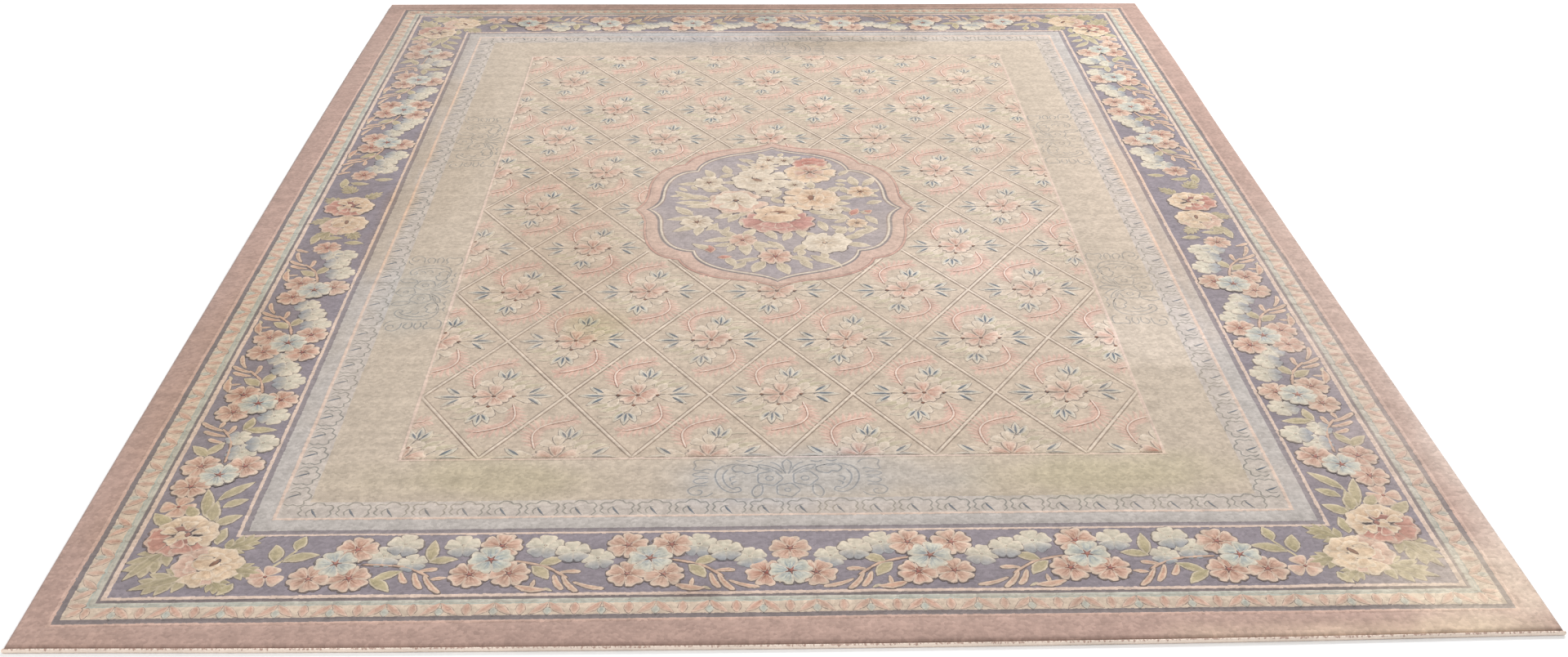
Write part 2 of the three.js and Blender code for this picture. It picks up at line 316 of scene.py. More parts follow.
def carved_dye_and_light(tree, place, knots, slow):
    """The colour of each carved shape: its wool with streaks from its heart, a pale painted highlight
    along its edge and the painted shade in the cut round it.
    """
    painted, heart, petal = (
        add(tree, "ShaderNodeAttribute", attribute_name=name) for name in ("dye_and_painted_light", "heart", "petal"))
    in_petal = petal.outputs["Vector"]

    grain_place = add(tree, "ShaderNodeVectorMath", place, named={"Scale": 17.0}, operation="SCALE")
    grain_run = add(tree, "ShaderNodeVectorMath", in_petal, (1.4, 4.6, 0), grain_place,
                    operation="MULTIPLY_ADD")
    grain = add(tree, "ShaderNodeTexNoise", named={"Vector": grain_run, "Scale": 1.0, "Detail": 1.5},
                noise_dimensions="2D")
    streak = add(tree, "ShaderNodeMapRange", grain, 0.40, 0.60, 0.12, 1.0)
    vein = add(tree, "ShaderNodeMath", streak, heart.outputs["Alpha"],
               operation="MULTIPLY", use_clamp=True)
    worn = add(tree, "ShaderNodeMapRange", slow, 0.35, 0.7, 0.0, 0.3)

    # How far in from the edge of the petal a point is: the knots make the painted highlight along the
    # edge and the painted shade of the cut ragged
    swing = add(tree, "ShaderNodeVectorMath", knots.outputs["Color"], MIDDLE_GREY,
                operation="SUBTRACT")
    ragged = add(tree, "ShaderNodeVectorMath", swing, (0, 0, RIM_SHIFT), in_petal,
                 operation="MULTIPLY_ADD")
    inside = add(tree, "ShaderNodeSeparateXYZ", ragged).outputs["Z"]
    shares = []
    for full, gone, strength in ((2.4, 5.0, petal), (-0.3, 0.9, painted)):
        close = add(tree, "ShaderNodeMapRange", inside, full, gone, 1.0, 0.0,
                    interpolation_type="SMOOTHSTEP")
        shares.append(add(tree, "ShaderNodeMath", close, strength.outputs["Alpha"], operation="MULTIPLY"))
    rim_highlight, cut = shares

    # Dye and streaks, then the painted highlight along the edge, the fading, and last the painted shade
    # in the cut
    colour = painted
    for share, other in ((vein, heart), (rim_highlight, linear(RIM_HIGHLIGHT)), (worn, linear(WOOL["panel"])),
                         (cut, linear(CUT_SHADE))):
        colour = add(tree, "ShaderNodeMix", named={"Factor": share, "A": colour, "B": other},
                     data_type="RGBA")
    return colour


ground_wool = wool_pile("dyed_wool_pile_bands", band_dye)
carved_wool = wool_pile("dyed_wool_pile_carved", carved_dye_and_light)


# Shared shaping
def spline(values, t):
    """A smooth curve through evenly spaced values, t from 0 to 1."""
    last = len(values) - 1
    place = min(max(t, 0), 1) * last
    i = min(int(place), last - 1)
    f = place - i
    a, b, c, d = (values[min(max(k, 0), last)] for k in (i - 1, i, i + 1, i + 2))
    slope_b = (c - a) * 0.5
    slope_c = (d - b) * 0.5
    cubic = 2 * b - 2 * c + slope_b + slope_c
    square = 3 * c - 3 * b - 2 * slope_b - slope_c
    return cubic * f ** 3 + square * f ** 2 + slope_b * f + b


def wander(x, y):
    """How far a point near the edge is pushed out by the uneven edge."""
    along_x = x / WIDTH + 0.5
    along_y = y / LENGTH + 0.5
    push_x = spline(EDGE_WANDER["right" if x > 0 else "left"], along_y) * (1 if x > 0 else -1)
    push_y = spline(EDGE_WANDER["back" if y > 0 else "front"], along_x) * (1 if y > 0 else -1)
    near_x = max(0, 1 - max(HALF_X - abs(x), 0) / WANDER_FADE)
    near_y = max(0, 1 - max(HALF_Y - abs(y), 0) / WANDER_FADE)
    return push_x * near_x, push_y * near_y


def swell(x, y):
    """The gentle rise and fall of the pile, in millimetres."""
    across, along, lean = LONG_WAVES
    short_across, short_along = SHORT_WAVES
    long = math.sin(x / across + LONG_START) * math.sin(y / along - x / lean)
    return SWELL * (long + SHORT_SHARE * math.sin(y / short_along + x / short_across))


def finish_piece(bm, name, material, replaces=()):
    """Turns a bmesh in millimetres into a smooth piece in metres that rides on the rug's body."""
    bmesh.ops.scale(bm, vec=(MM, MM, MM), verts=bm.verts)
    mesh = bpy.data.meshes.new(name)
    bm.to_mesh(mesh)
    bm.free()
    mesh.shade_smooth()
    mesh.materials.append(material)
    piece = bpy.data.objects.new(name, mesh)
    bpy.context.collection.objects.link(piece)
    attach(piece, "root")
    if replaces:
        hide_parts(*replaces)
    return piece


# The pile with its plain bands
def pile_sheet():
    """A slab whose top is inset line by line for the carved section, and then cut into a fine grid."""
    bm = bmesh.new()
    bmesh.ops.create_cube(bm, size=1)
    bmesh.ops.scale(bm, vec=(WIDTH, LENGTH, SIDE_WALL), verts=bm.verts)
    bmesh.ops.translate(bm, vec=(0, 0, SIDE_WALL / 2), verts=bm.verts)
    top = max(bm.faces, key=lambda face: face.calc_center_median().z)
    done = 0
    for inset, height in SECTION:
        bmesh.ops.inset_region(bm, faces=[top], thickness=inset - done, use_even_offset=True)
        for vert in top.verts:
            vert.co.z = height
        done = inset
    for axis, cuts in ((0, ROWS_ACROSS), (1, ROWS_ALONG)):
        straight = []
        for edge in bm.edges:
            span = edge.verts[0].co - edge.verts[1].co
            if abs(span[axis]) > LONG_EDGE and abs(span[1 - axis]) < 1:
                straight.append(edge)
        bmesh.ops.subdivide_edges(bm, edges=straight, cuts=cuts, use_grid_fill=True)
    for vert in bm.verts:
        x, y, z = vert.co
        push_x, push_y = wander(x, y)
        vert.co.x += push_x
        vert.co.y += push_y
        if z > SIDE_WALL + 0.1:
            vert.co.z += swell(x, y)
    bmesh.ops.recalc_face_normals(bm, faces=bm.faces)
    return bm


pile = finish_piece(pile_sheet(), "wool_pile", ground_wool, ("rug_pile",))


# Carved work
# Looks of the dyed petals and leaves: heart, body, edge
LOOKS = {
    "rose": ("96604f", "d0a893", "dfc0ad"),
    "rose top": ("9c6653", "d4ad98", "e2c5b2"),
    "sky": ("7c8d9b", "c5c8bb", "dad3c1"),
    "cloud": ("b9baab", "d3cab6", "dfd4c0"),
    "olive": ("938a68", "b8aa87", "c8b998"),
    "peach": ("ad7f69", "cda38b", "dcb8a1"),
    "cream peony": ("a07a5b", "dabd9e", "e7d0b5"),
    "red peony": ("8b4e45", "b97c6e", "cf9c8c"),
    "blush": ("9c6b5c", "cfa894", "dfc2b0"),
    "serrated": ("857d5f", "aa9d7c", "bdae8d"),
    "panel pink": ("ae7867", "d9b9a6", "e0c8b7"),
    "panel cream": ("b09a80", "d3c1ad", "dfd0bf"),
    "panel blue": ("7d8a97", "c5bfb1", "d5cbba"),
    "blue stroke": ("575d66", "666d77", "7e858c"),
    "panel green": ("a1987c", "c3b69d", "d0c3ac"),
    "fern": ("c08d7b", "d5b2a1", "ddc0b0"),
    "rosette heart": ("93544b", "ad6a5e", "ad6a5e"),
    "dark heart": ("714c3c", "8d6450", "8d6450"),
    "bowl red": ("7d4a44", "925a51", "a87468"),
    "bloom red": ("96544b", "c08779", "d0a091"),
    "guard leaf": ("a87b69", "d0a895", "ddbca9"),
    "guard teal": ("9fa79f", "b9b9ae", "c4c2b6"),
    "medal leaf": ("9a8b74", "cdbca3", "dccdb7"),
    "medal cream": ("a98f76", "d9c9b3", "e8dac8"),
    "medal gold": ("a97f62", "dcbd9f", "ebd2b8"),
    "medal rose": ("8f544d", "c08980", "d2a598"),
}
# A carved line is cut round every shape, and painted dark as its shade: how wide it is, how high its bed
# is, how far its rim is sunk
LINE_WIDE = 2.6
LINE_HIGH = 0.12
LINE_SUNK = 0.6
# How far in from its edge a shape has risen, at most, and as a share of its half width
EDGE_SLOPE = 2.2
SLOPE_SHARE = 0.6
# A shape's sides are this high, as a share of the height along its middle
SHOULDER = 0.82
LEAST_REACH = 0.5
# A shape with a smaller half width than this needs only two faces on each side of its middle
NARROW = 6
# Far inside a shape, where neither the painted highlight at its edge nor the painted shade of the cut
# shows
DEEP = 50.0
# The skirt past each end is this narrow, and a shape's middle is this much lower at its ends
SKIRT_NARROW = 0.5
END_DROP = 0.3
# Where a notch in the tip begins, and over what share of the length it deepens
NOTCH_FROM = 0.7
NOTCH_OVER = 0.3
# Dye: the body's share at the root and how fast it grows, where the edge's begins, its share at the sides
BODY_AT_ROOT = 0.5
BODY_GROWS = 1.6
EDGE_FROM = 0.4
EDGE_AT_SIDES = 0.6
# Streaks from the heart: their strength at the root and how fast they fade
STREAKS_AT_ROOT = 1.25
STREAKS_FADE = 1.35
# A line's ends are narrower than the rest of it
LINE_END = 0.45

# Outlines of carved shapes: share of the length, share of the half width
LEAF = ((0, 0.08), (0.12, 0.46), (0.32, 0.94), (0.55, 1.0), (0.78, 0.64), (0.94, 0.24), (1, 0.04))
BROAD = ((0, 0.2), (0.14, 0.36), (0.38, 0.7), (0.64, 0.97), (0.84, 1.0), (0.95, 0.8), (1, 0.55))
FINGER = ((0, 0.35), (0.12, 0.6), (0.4, 0.85), (0.7, 1.0), (0.92, 0.75), (1, 0.4))
SMALL = ((0, 0.2), (0.2, 0.75), (0.55, 1.0), (0.85, 0.55), (1, 0.15))
ROUND = ((0, 0.4), (0.14, 0.76), (0.5, 1.0), (0.86, 0.76), (1, 0.4))
ARC = ((0, 0.6), (0.15, 0.8), (0.5, 1.0), (0.85, 0.8), (1, 0.6))


def mix(a, b, share):
    return [p + (q - p) * share for p, q in zip(a, b)]


def bend_line(root, tip, bend, share):
    """A point on the curve from root to tip, pulled sideways by bend, and the way across it there."""
    along = tip - root
    across = Vector((-along.y, along.x)).normalized()
    pull = (root + tip) / 2 + across * bend * 2
    point = root * (1 - share) ** 2 + pull * 2 * share * (1 - share) + tip * share ** 2
    way = (pull - root) * (1 - share) + (tip - pull) * share
    return point, Vector((-way.y, way.x)).normalized()


def paint(bm, vert, dye_and_painted_light, cut=0.0, heart=(0, 0, 0), vein=0.0, place=(0, 0, DEEP), rim_highlight=0.0):
    """Writes what the wool reads: its colour with how dark the painted shade of the cut is, heart and
    streaks, place in the petal and how strong the painted highlight along its edge is.
    """
    layers = bm.verts.layers.float_color
    vert[layers["dye_and_painted_light"]] = (*dye_and_painted_light[:3], cut)
    vert[layers["heart"]] = (*heart[:3], vein)
    vert[layers["petal"]] = (*place, rim_highlight)


def carve(bm, root, tip, half, look, outline=LEAF, crown=1.2, lift=0.0, bend=0.0, notch=0.0, vein=0.5,
          line=LINE_WIDE, cut=0.85, rim_highlight=0.5, skirt=None):
    """One petal or leaf: a grid laid along a curve, domed, with a flat skirt for the cut round it, where
    shade is painted.
    """
    heart, body, edge = (linear(colour) for colour in LOOKS[look])
    root, tip = Vector(root), Vector(tip)
    length = (tip - root).length
    before, after = SKIRT_NARROW * outline[0][1], SKIRT_NARROW * outline[-1][1]
    profile = (-line / length, before), *outline, (1 + line / length, after)
    rows = len(profile) - 1
    columns = 2 if half < NARROW else 3
    for vert in bmesh.ops.create_grid(bm, x_segments=rows, y_segments=2 * columns, size=1)["verts"]:
        i = round((vert.co.x + 1) / 2 * rows)
        j = round(vert.co.y * columns)
        share, wide = profile[i]
        reach = max(half * wide, LEAST_REACH)
        slope = min(EDGE_SLOPE, reach * SLOPE_SHARE)
        shoulders = (reach,) if columns == 2 else (reach - slope, reach)
        from_middle = (0, *shoulders, reach + line)
        side = from_middle[abs(j)] * (1 if j > 0 else -1)
        point, across = bend_line(root, tip, bend, share)
        # A notch pulls the middle of the tip back
        back = notch * length * (1 - min(1, abs(side) / reach)) * max(0, share - NOTCH_FROM) / NOTCH_OVER
        co = point + across * side - (tip - root).normalized() * back
        # The heart's dye runs into the body's near the root, and the body's into the edge's at the tip
        body_here = mix(heart, body, min(1, BODY_AT_ROOT + share * BODY_GROWS))
        colour = mix(body_here, edge, max(0, share - EDGE_FROM) if j == 0 else EDGE_AT_SIDES)
        high = LINE_HIGH
        # The skirt lies sunk in the pile; a skirt colour, if given, is painted there as the shade of the
        # cut
        if abs(j) == columns or i in (0, rows):
            high = -LINE_SUNK
            colour = linear(skirt) if skirt else colour
        elif abs(j) < columns - 1 and 1 < i < rows - 1:
            high = crown * (1 - END_DROP * (2 * share - 1) ** 2) * (1 if j == 0 else SHOULDER)
        vert.co = (co.x, co.y, PILE + lift + high)
        inside = min(reach - abs(side), share * length, (1 - share) * length)
        streaks = vein * min(1, max(0, STREAKS_AT_ROOT - STREAKS_FADE * share))
        paint(bm, vert, colour, cut, heart, streaks, (share, side / reach, inside), rim_highlight)


def curve(places, steps=4):
    """Smooth line through a few places."""
    xs, ys = [p[0] for p in places], [p[1] for p in places]
    count = (len(places) - 1) * steps
    return [Vector((spline(xs, k / count), spline(ys, k / count))) for k in range(count + 1)]


def line_work(bm, points, half, section):
    """A long narrow strip on the pile. Section rows: share of the half width, height, colour."""
    rows, columns = len(points) - 1, len(section) - 1
    colours = [linear(colour) for _, _, colour in section]
    for vert in bmesh.ops.create_grid(bm, x_segments=rows, y_segments=columns, size=1)["verts"]:
        i = round((vert.co.x + 1) / 2 * rows)
        j = round((vert.co.y + 1) / 2 * columns)
        way = points[min(i + 1, rows)] - points[max(i - 1, 0)]
        across = Vector((-way.y, way.x)).normalized()
        share, height, _ = section[j]
        narrow = LINE_END if i in (0, rows) else 1
        x, y = points[i] + across * share * half * narrow
        vert.co = (x, y, PILE + height)
        paint(bm, vert, colours[j])


def carved_groove(ground, lip, dark):
    """Section of a groove cut in plain pile: a bottom painted dark as shade between two lips painted
    pale, as highlights where they catch the light.
    """
    return ((-1, -0.2, ground), (-0.7, 0.3, lip), (-0.42, 0.1, dark), (0.42, 0.1, dark),
            (0.7, 0.3, lip), (1, -0.2, ground))


def raised_line(side, top):
    """Section of a woven line that stands up between two cut edges, its sides painted dark as the shade
    in the cuts.
    """
    return ((-1, 0.04, side), (-0.52, 0.08, side), (-0.46, 0.5, top), (0, 0.7, top), (0.46, 0.5, top),
            (0.52, 0.08, side), (1, 0.04, side))


def new_piece():
    bm = bmesh.new()
    for name in ("dye_and_painted_light", "heart", "petal"):
        bm.verts.layers.float_color.new(name)
    return bm


def unit(shapes, *details):
    """A small bunch of carved shapes kept as a mesh, to be stamped many times."""
    bm = new_piece()
    shapes(bm, *details)
    mesh = bpy.data.meshes.new("unit")
    bm.to_mesh(mesh)
    bm.free()
    return mesh


def stamp(bm, mesh, x, y, turn=0.0, size=1.0, lift=0.0, flip_x=False, flip_y=False):
    """Copies a unit into the piece, flipped, sized, turned in degrees and put in its place."""
    before = len(bm.verts)
    bm.from_mesh(mesh)
    bm.verts.ensure_lookup_table()
    flip = Matrix.Diagonal((-size if flip_x else size, -size if flip_y else size, 1, 1))
    spin = Matrix.Rotation(math.radians(turn), 4, "Z")
    place = Matrix.Translation((x, y, lift)) @ spin @ flip
    bmesh.ops.transform(bm, matrix=place, verts=bm.verts[before:])


def polar(angle, distance):
    return Vector((math.cos(math.radians(angle)) * distance, math.sin(math.radians(angle)) * distance))


def ring_of(bm, look, number, near, far, half, start=90.0, outline=BROAD, lift=0.0, squash=1.0, **petal):
    """Petals set round a middle. squash makes every other petal shorter."""
    for k in range(number):
        tip = polar(start + 360 / number * k, far * (squash if k % 2 else 1))
        root = polar(start + 360 / number * k, near)
        carve(bm, root, tip, half, look, outline, lift=lift + 0.1 * (k % 2), **petal)


def disc(bm, look, radius, lift=0.0, at=(0, 0), **petal):
    x, y = at
    carve(bm, (x - radius, y), (x + radius, y), radius, look, ROUND, lift=lift, rim_highlight=0.0, **petal)


def petals(bm, table, crown):
    """Petals of a flower from their table: look, angle, near, far, half width, lift."""
    for look, angle, near, far, half, lift in table:
        root, tip = polar(angle, near), polar(angle, far)
        carve(bm, root, tip, half, look, BROAD, crown, lift, notch=0.1, vein=0.7)


def blossom(bm, look, heart="rosette heart"):
    """Five broad notched petals round a small dark heart, 39 mm from heart to tip."""
    ring_of(bm, look, number=5, near=3, far=39, half=18.8, notch=0.1, vein=0.95)
    for k in range(5):
        angle = 54 + 72 * k
        carve(bm, polar(angle, 3), polar(angle, 11), 1.3, heart, SMALL, 0.7, 1.0, line=0.8, rim_highlight=0.0)
    disc(bm, heart, 4.2, 1.0, line=1.2)


# Blue shade of the cloud blossoms: how far below the middle it begins, over what height it deepens
CLOUD_SHADE = "7f8b9c"
CLOUD_SHADE_FROM = 4
CLOUD_SHADE_OVER = 30
CLOUD_SHADE_MOST = 0.85
# How dark the painted shade in the cut round each cloud blossom is
CLOUD_CUT_SHADE = 0.75


def cloud_blossom(bm):
    """A small pale blossom of five round lobes, shaded blue from the middle down, with a curl in it."""
    ring_of(bm, "cloud", number=5, near=1, far=33, half=15.5, start=-54, notch=0.03, vein=0.25)
    dye_and_painted_light, petal = (bm.verts.layers.float_color[name] for name in ("dye_and_painted_light", "petal"))
    for vert in bm.verts:
        depth = min(max((CLOUD_SHADE_FROM - vert.co.y) / CLOUD_SHADE_OVER, 0), 1)
        share = depth * CLOUD_SHADE_MOST
        vert[dye_and_painted_light] = (*mix(vert[dye_and_painted_light][:3], linear(CLOUD_SHADE), share), CLOUD_CUT_SHADE)
        # Less painted highlight along the edge where the blue is
        vert[petal] = (*vert[petal][:3], 0.5 * (1 - share))
    disc(bm, "cloud", 7.5, 0.7, (0, 2), crown=0.7)
    disc(bm, "panel cream", 2.5, 1.3, (0, 2), crown=0.4)


def uneven(k, seed):
    """A steady, uneven number between -1 and 1 for the k-th petal."""
    return math.sin(k * 12.9898 + seed * 4.1414)


# How much the petals of a full flower differ: turn, length, width, and the lift from one to the next
WILD_TURN = 0.3
WILD_REACH = 0.17
WILD_WIDE = 0.18
WILD_LIFT = 0.13


def wild_ring(bm, look, number, near, far, half, start, lift, seed, **petal):
    """Petals round a middle, each turned, long and broad in its own way."""
    for k in range(number):
        angle = start + 360 / number * (k + WILD_TURN * uneven(k, seed))
        reach = far * (1 + WILD_REACH * uneven(k + 5, seed))
        wide = half * (1 + WILD_WIDE * uneven(k + 9, seed))
        high = lift + WILD_LIFT * (k % 3)
        carve(bm, polar(angle, near), polar(angle, reach), wide, look, BROAD, lift=high, **petal)


def peony(bm, look, seed):
    """A full flower seen a little from above: uneven petals, a folded bowl and a small dark heart."""
    wild_ring(bm, look, 8, 18, 64, 27, start=20 * seed, lift=0.0, seed=seed, notch=0.1, vein=0.6)
    wild_ring(bm, look, 6, 8, 45, 21, start=20 * seed + 25, lift=0.7, seed=seed + 1, notch=0.12, vein=0.7)
    carve(bm, (-16, 5), (15, 7), 7, "dark heart", ROUND, crown=0.5, lift=1.5, bend=3, rim_highlight=0.0)
    carve(bm, (-25, -7), (24, -7), 13, look, ROUND, crown=1.0, lift=1.5, bend=-5)
    carve(bm, (9, 4), (20, -13), 6, look, SMALL, crown=0.8, lift=2.0, bend=3)


# Petals of the two peonies at the corners: look, angle, near, far, half width, lift
RED_PEONY = (
    ("red peony", 170, 22, 66, 24, 0.0), ("red peony", 203, 22, 70, 25, 0.15),
    ("red peony", 236, 20, 64, 24, 0.0), ("red peony", 268, 20, 60, 23, 0.15),
    ("red peony", 298, 22, 62, 22, 0.0), ("cream peony", 330, 24, 60, 20, 0.3),
    ("cream peony", 8, 22, 62, 22, 0.2), ("cream peony", 46, 24, 58, 21, 0.3),
    ("cream peony", 84, 22, 63, 22, 0.2), ("cream peony", 124, 24, 60, 22, 0.3),
    ("bowl red", 100, 2, 34, 26, 0.5), ("bowl red", 280, 2, 34, 26, 0.5),
    ("cream peony", 14, 12, 46, 13, 1.0), ("cream peony", 78, 14, 44, 15, 1.1),
    ("cream peony", 148, 12, 47, 13, 1.0), ("cream peony", 214, 10, 38, 12, 1.1),
    ("red peony", 255, 10, 42, 13, 1.0), ("cream peony", 312, 10, 40, 14, 1.1),
)
CREAM_PEONY = (
    ("blush", 148, 18, 64, 26, 0.0), ("blush", 186, 18, 68, 27, 0.15),
    ("blush", 224, 16, 66, 27, 0.0), ("cream peony", 264, 16, 64, 25, 0.2),
    ("blush", 300, 16, 60, 24, 0.1), ("cream peony", 336, 16, 60, 25, 0.2),
    ("cream peony", 14, 16, 63, 26, 0.1), ("cream peony", 56, 16, 60, 26, 0.25),
    ("cream peony", 100, 16, 58, 26, 0.1), ("blush", 205, 6, 46, 20, 0.7),
    ("cream peony", 285, 6, 44, 20, 0.7), ("cream peony", 350, 6, 42, 20, 0.75),
    ("cream peony", 70, 4, 40, 21, 0.7), ("cream peony", 125, 4, 42, 20, 0.8),
)


def corner_peony(bm, table, heart, bowl_at, bowl):
    """A peony from its table, with a folded bowl of a half width and a small dark heart beside it."""
    petals(bm, table, 1.1)
    x, y = bowl_at
    fold = "cream peony"
    carve(bm, (x - bowl * 1.3, y), (x + bowl * 1.2, y), bowl, fold, ROUND, crown=1.0, lift=1.4, bend=2)
    root, tip = (x + bowl * 0.5, y - 2), (x + bowl * 0.8, y + bowl)
    carve(bm, root, tip, 5, heart, SMALL, crown=0.5, lift=2.3, rim_highlight=0.0)
    carve(bm, (x - bowl, y + 6), (x + 3, y + bowl + 2), 5.5, fold, SMALL, crown=0.7, lift=2.0, bend=3)


# Petals of the big rose in the medallion: look, angle, near, far, half width, lift
BIG_ROSE = (
    ("medal rose", 172, 34, 88, 26, 0.0), ("medal rose", 198, 30, 104, 33, 0.15),
    ("medal rose", 228, 30, 96, 36, 0.0), ("medal rose", 262, 26, 84, 38, 0.2),
    ("medal rose", 296, 28, 94, 36, 0.0), ("medal rose", 326, 32, 108, 32, 0.2),
    ("medal rose", 350, 34, 100, 28, 0.0), ("medal rose", 12, 34, 84, 24, 0.1),
    ("medal rose", 240, 14, 66, 26, 0.6), ("medal rose", 286, 14, 68, 27, 0.7),
    ("medal gold", 158, 14, 66, 27, 0.8), ("medal gold", 122, 12, 84, 30, 0.9),
    ("medal gold", 84, 12, 82, 30, 0.8), ("medal gold", 48, 14, 84, 28, 0.9),
    ("medal gold", 18, 14, 62, 25, 0.8),
)


def big_rose(bm):
    """The rose red flower in the middle, with an apricot bowl that opens towards the back."""
    petals(bm, BIG_ROSE, 1.2)
    carve(bm, (-26, 34), (28, 36), 8, "dark heart", ROUND, crown=0.5, lift=1.7, bend=4, rim_highlight=0.0)
    carve(bm, (-46, 2), (46, 4), 29, "medal gold", ROUND, crown=1.2, lift=1.6, bend=-6)
    carve(bm, (-30, 20), (4, 30), 8, "medal gold", SMALL, crown=0.9, lift=2.4, bend=4)


def open_bloom(bm, outer, inner, seed, heart="dark heart"):
    """A wide open flower: seven long petals, five shorter ones on them and a small dark heart."""
    wild_ring(bm, outer, 7, 14, 67, 30, start=15 * seed, lift=0.0, seed=seed, notch=0.1, vein=0.5)
    wild_ring(bm, inner, 5, 5, 44, 22, start=15 * seed + 20, lift=0.7, seed=seed + 2, notch=0.1, vein=0.7)
    disc(bm, heart, 4.5, 1.6, crown=0.6)


def loose_blossom(bm):
    """Four round petals without notches, seen half from the side."""
    for angle, far in ((70, 36), (160, 38), (235, 34), (330, 38)):
        carve(bm, polar(angle, 2), polar(angle, far), 20, "rose top", BROAD, vein=0.5)
    disc(bm, "rosette heart", 3.5, 0.8, crown=0.5, line=1.2)


def serrated_leaf(bm):
    """A toothed leaf 96 mm long, built from a blade and three pairs of points."""
    for at, length, angle in ((6, 44, 50), (26, 46, 42), (48, 36, 34)):
        for side in (1, -1):
            tip = Vector((at, 0)) + polar(angle * side, length)
            carve(bm, (at, 0), tip, 10.5, "serrated", LEAF, crown=1.0, lift=0.1, rim_highlight=0.3)
    carve(bm, (0, 0), (96, 0), 12, "serrated", LEAF, crown=1.2, lift=0.3, vein=0.9, rim_highlight=0.3)


def spiky_bloom(bm):
    """Two rings of narrow pointed petals."""
    ring_of(bm, "medal cream", 11, 6, 48, 8, start=10, outline=LEAF, squash=0.85)
    ring_of(bm, "medal gold", 7, 3, 26, 6, start=24, outline=LEAF, lift=0.8)


def red_bloom(bm):
    """A red cup of seven petals that opens upwards, with one fold across its front."""
    for angle, far in ((200, 54), (165, 52), (130, 44), (95, 42), (62, 46), (25, 52), (340, 50)):
        carve(bm, polar(angle, 6), polar(angle, far), 17, "bloom red", BROAD, notch=0.12)
    carve(bm, (-26, -6), (28, -4), 14, "bloom red", ROUND, lift=0.7, bend=5)


UNITS = {
    "rose": unit(blossom, "rose"),
    "rose top": unit(blossom, "rose top"),
    "sky": unit(blossom, "sky"),
    "peach blossom": unit(blossom, "blush"),
    "cream blossom": unit(blossom, "medal cream", "dark heart"),
    "gold blossom": unit(blossom, "medal gold", "dark heart"),
    "cloud": unit(cloud_blossom),
    "loose blossom": unit(loose_blossom),
    "cream peony": unit(corner_peony, CREAM_PEONY, "dark heart", (-8, 0), 21),
    "red peony": unit(corner_peony, RED_PEONY, "bowl red", (-2, -6), 12),
    "big rose": unit(big_rose),
    "gold peony": unit(peony, "medal gold", 3),
    "pale peony": unit(peony, "medal cream", 1),
    "blush bloom": unit(open_bloom, "blush", "medal cream", 2),
    "peach bloom": unit(open_bloom, "medal gold", "blush", 4),
    "pale bloom": unit(open_bloom, "medal cream", "medal cream", 5, "medal gold"),
    "serrated": unit(serrated_leaf),
    "spiky": unit(spiky_bloom),
    "red bloom": unit(red_bloom),
}


# A stem's lengths bend by an eighth of what their neighbours turn, and run into each other by this share
STEM_BEND = 8
STEM_LAP = 0.8


def stem(bm, places, half, look="peach", lift=0.0):
    """A stem through a few places, made of short bent lengths that run into each other."""
    points = [Vector(place) for place in places]
    for k in range(len(points) - 1):
        before = points[max(k - 1, 0)]
        after = points[min(k + 2, len(points) - 1)]
        span = points[k + 1] - points[k]
        across = Vector((-span.y, span.x)).normalized()
        swing = ((points[k] - before).dot(across) - (after - points[k + 1]).dot(across)) / STEM_BEND
        over = span.normalized() * half * STEM_LAP
        root, tip = points[k] - over, points[k + 1] + over
        carve(bm, root, tip, half, look, ROUND, 1.0, lift, swing, vein=0.2, rim_highlight=0.2)


def loose_work(bm, blossoms, leaves=(), stems=()):
    """Places blossoms, leaves and stems from their tables."""
    for places in stems:
        stem(bm, places, 3.2, "olive")
    for look, outline, x0, y0, x1, y1, half, bend in leaves:
        carve(bm, (x0, y0), (x1, y1), half, look, outline, 1.2, 0.2, bend)
    for kind, x, y, turn, size, lift in blossoms:
        stamp(bm, UNITS[kind], x, y, turn, size, lift)


# The bunch and the garland: the same work is repeated round the whole border
# Blossoms of a bunch: kind, along, inward, turn, size, lift
BUNCHES = {
    "five": (
        ("rose top", 38, 53, 8, 1.0, 0.0), ("rose top", -45, 52, -14, 1.02, 0.05),
        ("rose", 26, -40, 24, 0.98, 0.1), ("rose", -42, -38, -6, 0.98, 0.15),
        ("sky", -1, 9, 15, 1.08, 0.9),
    ),
    "four": (
        ("rose top", 12, 53, -9, 1.03, 0.0), ("rose", 36, -33, 12, 1.0, 0.1),
        ("rose", -37, -35, -20, 1.0, 0.15), ("sky", -2, 9, 8, 1.08, 0.9),
    ),
    "corner": (
        ("rose top", 26, 46, -9, 1.03, 0.0), ("rose", 27, -43, 12, 1.03, 0.1),
        ("rose", -47, -43, -20, 1.0, 0.15), ("sky", -6, 2, 20, 1.02, 0.9),
    ),
}
# Blossoms of a garland: kind, along, inward, turn, size, lift
CLOUDS = {
    "short": (
        ("cloud", 89, 52, -8, 1.12, 0.0), ("cloud", 140, 33, 6, 1.0, 1.1),
        ("cloud", 186, 11, 12, 0.97, 0.0),
    ),
    "long": (
        ("cloud", 80, 24, 0, 1.0, 0.0), ("cloud", 113, 59, -10, 1.05, 1.1),
        ("cloud", 136, 4, 10, 0.84, 0.1), ("cloud", 223, 55, 5, 1.05, 0.0),
    ),
}
